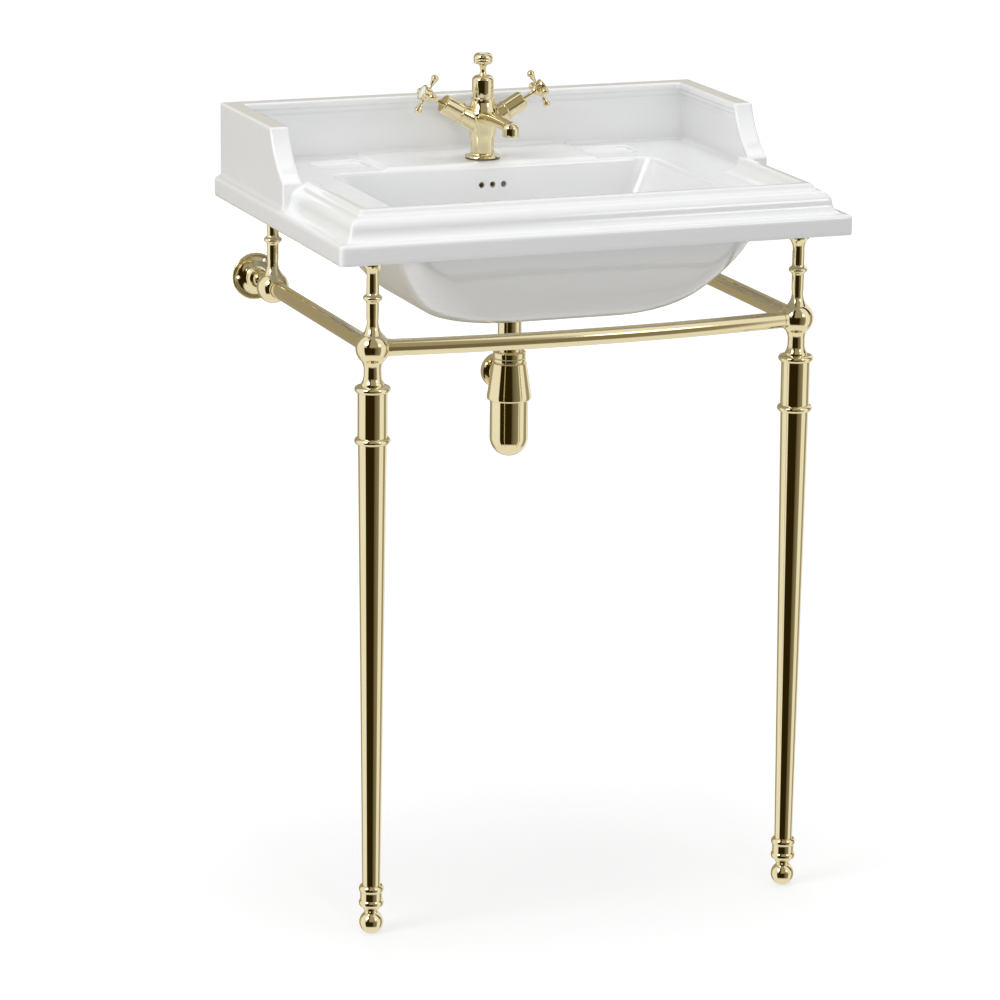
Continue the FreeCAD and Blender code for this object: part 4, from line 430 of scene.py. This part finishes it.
# ---- the towel rails ----
# Drawn brass tube, plated and polished along its length: a bowed one across the front and a straight one
# down each side, pushed over the spigots on the balls.
DRAWN_DEPTH = 0.0000004
drawn_gold = surfaced(
    "polished gold tube", polish,
    {"Metal": GOLD, "Deeper": GOLD_DEEP, "Cloud size": 5.0, "Swirl size": 180.0, "Smoothest": 0.06,
     "Roughest": 0.1},
    {"Metallic": 1.0}, DRAWN_DEPTH)
for name in ("front_rail", "left_rail", "right_rail"):
    finished("tube_" + name, [name], "frame", drawn_gold)


# ---- the wall roses ----
# Spun brass discs with a rolled edge and a hub for the rear ball's spigot, each held to the wall by three
# screws of the fitter's own.
for side in ("left", "right"):
    finished("spun_%s_wall_rose" % side, [side + "_wall_rose"], "frame", gold)


# ---- the buffers under the basin ----
# Four soft black discs on the spindles' tops keep the china off the metal. They are cut from sheet, with
# eased edges.
PAD_SIDES = 48
PAD_EASE = 0.94
PAD_EDGE = 0.49
PAD_CREASE = math.radians(40)
BLACK = (0.028, 0.028, 0.03, 1)
BLACK_DUSTY = (0.06, 0.06, 0.062, 1)
PEBBLE_DEPTH = 0.00004


def pad_tree(material):
    """Discs on the corners of a rectangle, drawn in where they lie past PAD_EDGE of the thickness."""
    tree = bpy.data.node_groups.new("buffers on corners", "GeometryNodeTree")
    tree.interface.new_socket("Geometry", in_out="INPUT", socket_type="NodeSocketGeometry")
    for name in ("Across", "Front to back", "Middle", "Level", "Radius", "Thickness"):
        tree.interface.new_socket(name, in_out="INPUT", socket_type="NodeSocketFloat")
    tree.interface.new_socket("Geometry", in_out="OUTPUT", socket_type="NodeSocketGeometry")
    enter = node_setup(tree, "NodeGroupInput")
    leave = node_setup(tree, "NodeGroupOutput")
    grid = node_setup(tree, "GeometryNodeMeshGrid", {"Vertices X": 2, "Vertices Y": 2})
    spots = node_setup(tree, "GeometryNodeInstanceOnPoints")
    disc = node_setup(tree, "GeometryNodeMeshCylinder",
                      {"Vertices": PAD_SIDES, "Side Segments": 5, "Fill Segments": 3})
    ease = node_setup(tree, "GeometryNodeSetPosition")
    where = node_setup(tree, "GeometryNodeInputPosition")
    depth = node_setup(tree, "ShaderNodeSeparateXYZ")
    far = node_setup(tree, "ShaderNodeMath", operation="ABSOLUTE")
    half = node_setup(tree, "ShaderNodeMath", {1: PAD_EDGE}, operation="MULTIPLY")
    edge = node_setup(tree, "ShaderNodeMath", operation="GREATER_THAN")
    drawn = node_setup(tree, "ShaderNodeVectorMath", {1: (PAD_EASE, PAD_EASE, 1)}, operation="MULTIPLY")
    shift = node_setup(tree, "ShaderNodeCombineXYZ")
    move = node_setup(tree, "GeometryNodeTransform")
    real = node_setup(tree, "GeometryNodeRealizeInstances")
    paint = node_setup(tree, "GeometryNodeSetMaterial", {"Material": material})
    link = tree.links.new
    link(enter.outputs["Across"], grid.inputs["Size X"])
    link(enter.outputs["Front to back"], grid.inputs["Size Y"])
    link(enter.outputs["Radius"], disc.inputs["Radius"])
    link(enter.outputs["Thickness"], disc.inputs["Depth"])
    link(where.outputs[0], depth.inputs[0])
    link(depth.outputs["Z"], far.inputs[0])
    link(enter.outputs["Thickness"], half.inputs[0])
    link(far.outputs[0], edge.inputs[0])
    link(half.outputs[0], edge.inputs[1])
    link(where.outputs[0], drawn.inputs[0])
    link(disc.outputs["Mesh"], ease.inputs["Geometry"])
    link(edge.outputs[0], ease.inputs["Selection"])
    link(drawn.outputs[0], ease.inputs["Position"])
    link(grid.outputs["Mesh"], spots.inputs["Points"])
    link(ease.outputs[0], spots.inputs["Instance"])
    link(enter.outputs["Middle"], shift.inputs["Y"])
    link(enter.outputs["Level"], shift.inputs["Z"])
    link(spots.outputs[0], move.inputs["Geometry"])
    link(shift.outputs[0], move.inputs["Translation"])
    link(move.outputs[0], real.inputs[0])
    link(real.outputs[0], paint.inputs["Geometry"])
    link(paint.outputs[0], leave.inputs[0])
    return tree


def grown(name, tree, sizes):
    """A plain mesh piece from a shape tree, its sizes given by name."""
    seed = new_object(name + "_seed", bpy.data.meshes.new(name + "_seed"))
    growth = seed.modifiers.new("shape", "NODES")
    growth.node_group = tree
    for item in tree.interface.items_tree:
        if item.item_type == "SOCKET" and item.in_out == "INPUT" and item.name in sizes:
            growth[item.identifier] = sizes[item.name]
    return settled(name, seed)


def soft_black():
    """Black rubber: dusty patches over a fine pebble."""
    group = bpy.data.node_groups.new("soft black", "ShaderNodeTree")
    socket(group, "Color", "NodeSocketColor", leaves=True)
    socket(group, "Roughness", "NodeSocketFloat", leaves=True)
    socket(group, "Height", "NodeSocketFloat", leaves=True)
    leave = node_setup(group, "NodeGroupOutput")
    place = node_setup(group, "ShaderNodeTexCoord")
    dust = node_setup(group, "ShaderNodeTexNoise", {"Scale": 60.0, "Detail": 4.0})
    pebble = node_setup(group, "ShaderNodeTexVoronoi", {"Scale": 900.0})
    mix = node_setup(group, "ShaderNodeMix", {"A": BLACK, "B": BLACK_DUSTY}, data_type="RGBA")
    dry = node_setup(group, "ShaderNodeMapRange", {"To Min": 0.55, "To Max": 0.8})
    group.links.new(place.outputs["Object"], dust.inputs["Vector"])
    group.links.new(place.outputs["Object"], pebble.inputs["Vector"])
    group.links.new(dust.outputs["Fac"], mix.inputs["Factor"])
    group.links.new(mix.outputs["Result"], leave.inputs["Color"])
    group.links.new(dust.outputs["Fac"], dry.inputs["Value"])
    group.links.new(dry.outputs[0], leave.inputs["Roughness"])
    group.links.new(pebble.outputs["Distance"], leave.inputs["Height"])
    return group


rubber = surfaced("black rubber", soft_black(), {}, {"Metallic": 0.0}, PEBBLE_DEPTH)
low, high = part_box("spindle_pads")
pad_radius = high.x - (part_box("right_front_spindle")[0].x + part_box("right_front_spindle")[1].x) / 2
pads = grown("buffers", pad_tree(rubber), {
    "Across": high.x - low.x - 2 * pad_radius, "Front to back": high.y - low.y - 2 * pad_radius,
    "Middle": (high.y + low.y) / 2, "Level": (high.z + low.z) / 2,
    "Radius": pad_radius, "Thickness": high.z - low.z})
pads.data.shade_smooth()
pads.data.set_sharp_from_angle(angle=PAD_CREASE)
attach(pads, "frame")
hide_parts("spindle_pads")


# ---- the waste and the pop-up works ----
# A flanged brass waste in the bowl's floor, plated gold, with a washer and a turned brass nut under the
# china, a brass tee left as turned below them, and a steel pivot rod that lifts or drops the plug.
BRASS = (0.62, 0.47, 0.22, 1)
BRASS_DULL = (0.50, 0.36, 0.17, 1)
STEEL = (0.60, 0.60, 0.60, 1)
STEEL_DULL = (0.48, 0.48, 0.49, 1)
TOOL_MARK_DEPTH = 0.00001
plain_brass = surfaced(
    "turned brass", polish,
    {"Metal": BRASS, "Deeper": BRASS_DULL, "Cloud size": 40.0, "Smoothest": 0.2, "Roughest": 0.38},
    {"Metallic": 1.0}, TOOL_MARK_DEPTH)
steel = surfaced(
    "plain steel", polish,
    {"Metal": STEEL, "Deeper": STEEL_DULL, "Cloud size": 50.0, "Smoothest": 0.22, "Roughest": 0.36},
    {"Metallic": 1.0}, TOOL_MARK_DEPTH)
finished("waste_flange_gold", ["waste_flange"], "frame", gold)
finished("waste_plug_gold", ["waste_plug"], "plug", gold)
finished("plug_ring", ["plug_seal"], "plug", rubber)
finished("waste_joint_ring", ["waste_washer"], "frame", rubber)
for name in ("waste_backnut", "waste_tee", "pivot_nut"):
    finished(name + "_brass", [name], "frame", plain_brass)
finished("pivot_rod_steel", ["pivot_rod"], "pivot", steel)
finished("lift_strap_steel", ["lift_strap", "strap_screw", "spring_clip"], "lift", steel)


# ---- the bottle trap ----
# Cast and turned brass, plated gold: a bell-shaped body over a round-ended bottle that unscrews, with
# nuts at the inlet and at the outlet behind.
for name in ("tail_pipe", "trap_inlet_nut", "trap_body", "trap_bottle", "trap_outlet_nut"):
    finished(name + "_gold", [name], "frame", gold)
finished("trap_inner_tube", ["trap_dip_tube"], "frame", plain_brass)


# ---- the tap's body and what fixes it ----
# A hot-pressed brass body with two raised arms, plated gold, on a ringed base with a thin rubber seal.
# Under the basin a horseshoe washer and a nut draw it down, and two copper tails bring the water.
COPPER = (0.70, 0.36, 0.22, 1)
COPPER_DULL = (0.50, 0.24, 0.15, 1)
copper = surfaced(
    "drawn copper", polish,
    {"Metal": COPPER, "Deeper": COPPER_DULL, "Cloud size": 45.0, "Smoothest": 0.22, "Roughest": 0.4},
    {"Metallic": 1.0}, TOOL_MARK_DEPTH)
finished("tap_body_gold", ["tap_body"], "frame", gold)
finished("tap_base_ring", ["tap_base_flange"], "frame", gold)
finished("tap_base_rubber", ["tap_base_seal"], "frame", rubber)
finished("horseshoe_washer_steel", ["horseshoe_washer"], "frame", steel)
finished("tap_nut_brass", ["tap_backnut"], "frame", plain_brass)
finished("supply_tails_copper", ["supply_tails"], "frame", copper)


# ---- the spout ----
# A flattened tapering spout with a short nozzle that points down, joined to the body's front and plated
# gold. The nozzle holds a steel flow straightener pierced with small holes.
finished("spout_gold", ["spout"], "frame", gold)
finished("flow_straightener", ["spout_aerator"], "frame", steel)


# ---- the dome, valves and crossheads ----
# A bell-shaped cap and two plated shrouds cover the works. Each spindle carries a cross of four teardrop
# arms, whose hub is closed by a glazed white disc.
BUTTON_WHITE = (0.86, 0.855, 0.83, 1)
BUTTON_POOLED = (0.80, 0.79, 0.76, 1)
BUTTON_RIPPLE = 0.00003
button = surfaced(
    "white porcelain button", fired_glaze,
    {"Glaze": BUTTON_WHITE, "Pooled": BUTTON_POOLED, "Ripple size": 300.0},
    {"IOR": 1.5, "Coat Weight": 0.6, "Coat Roughness": 0.02}, BUTTON_RIPPLE)
finished("centre_dome_gold", ["centre_dome"], "frame", gold)
for side in ("left", "right"):
    body = side + "_handle"
    finished(side + "_shroud_gold", [side + "_valve_cover"], "frame", gold)
    finished(side + "_valve_brass", [side + "_valve_cartridge"], "frame", plain_brass)
    finished(side + "_spindle_gold", [side + "_valve_spindle"], body, gold)
    finished(side + "_cross_gold", [side + "_crosshead"], body, gold)
    finished(side + "_button", [side + "_index"], body, button)
    finished(side + "_cross_screw", [side + "_handle_screw"], body, steel)


# ---- the pop-up knob ----
# A turned mushroom knob with a white button let into its top, screwed on the thin rod that runs down
# through the tap.
finished("pop_up_knob_gold", ["lift_knob"], "lift", gold)
finished("pop_up_button", ["lift_knob_cap"], "lift", button)
finished("pop_up_rod", ["lift_rod"], "lift", gold)
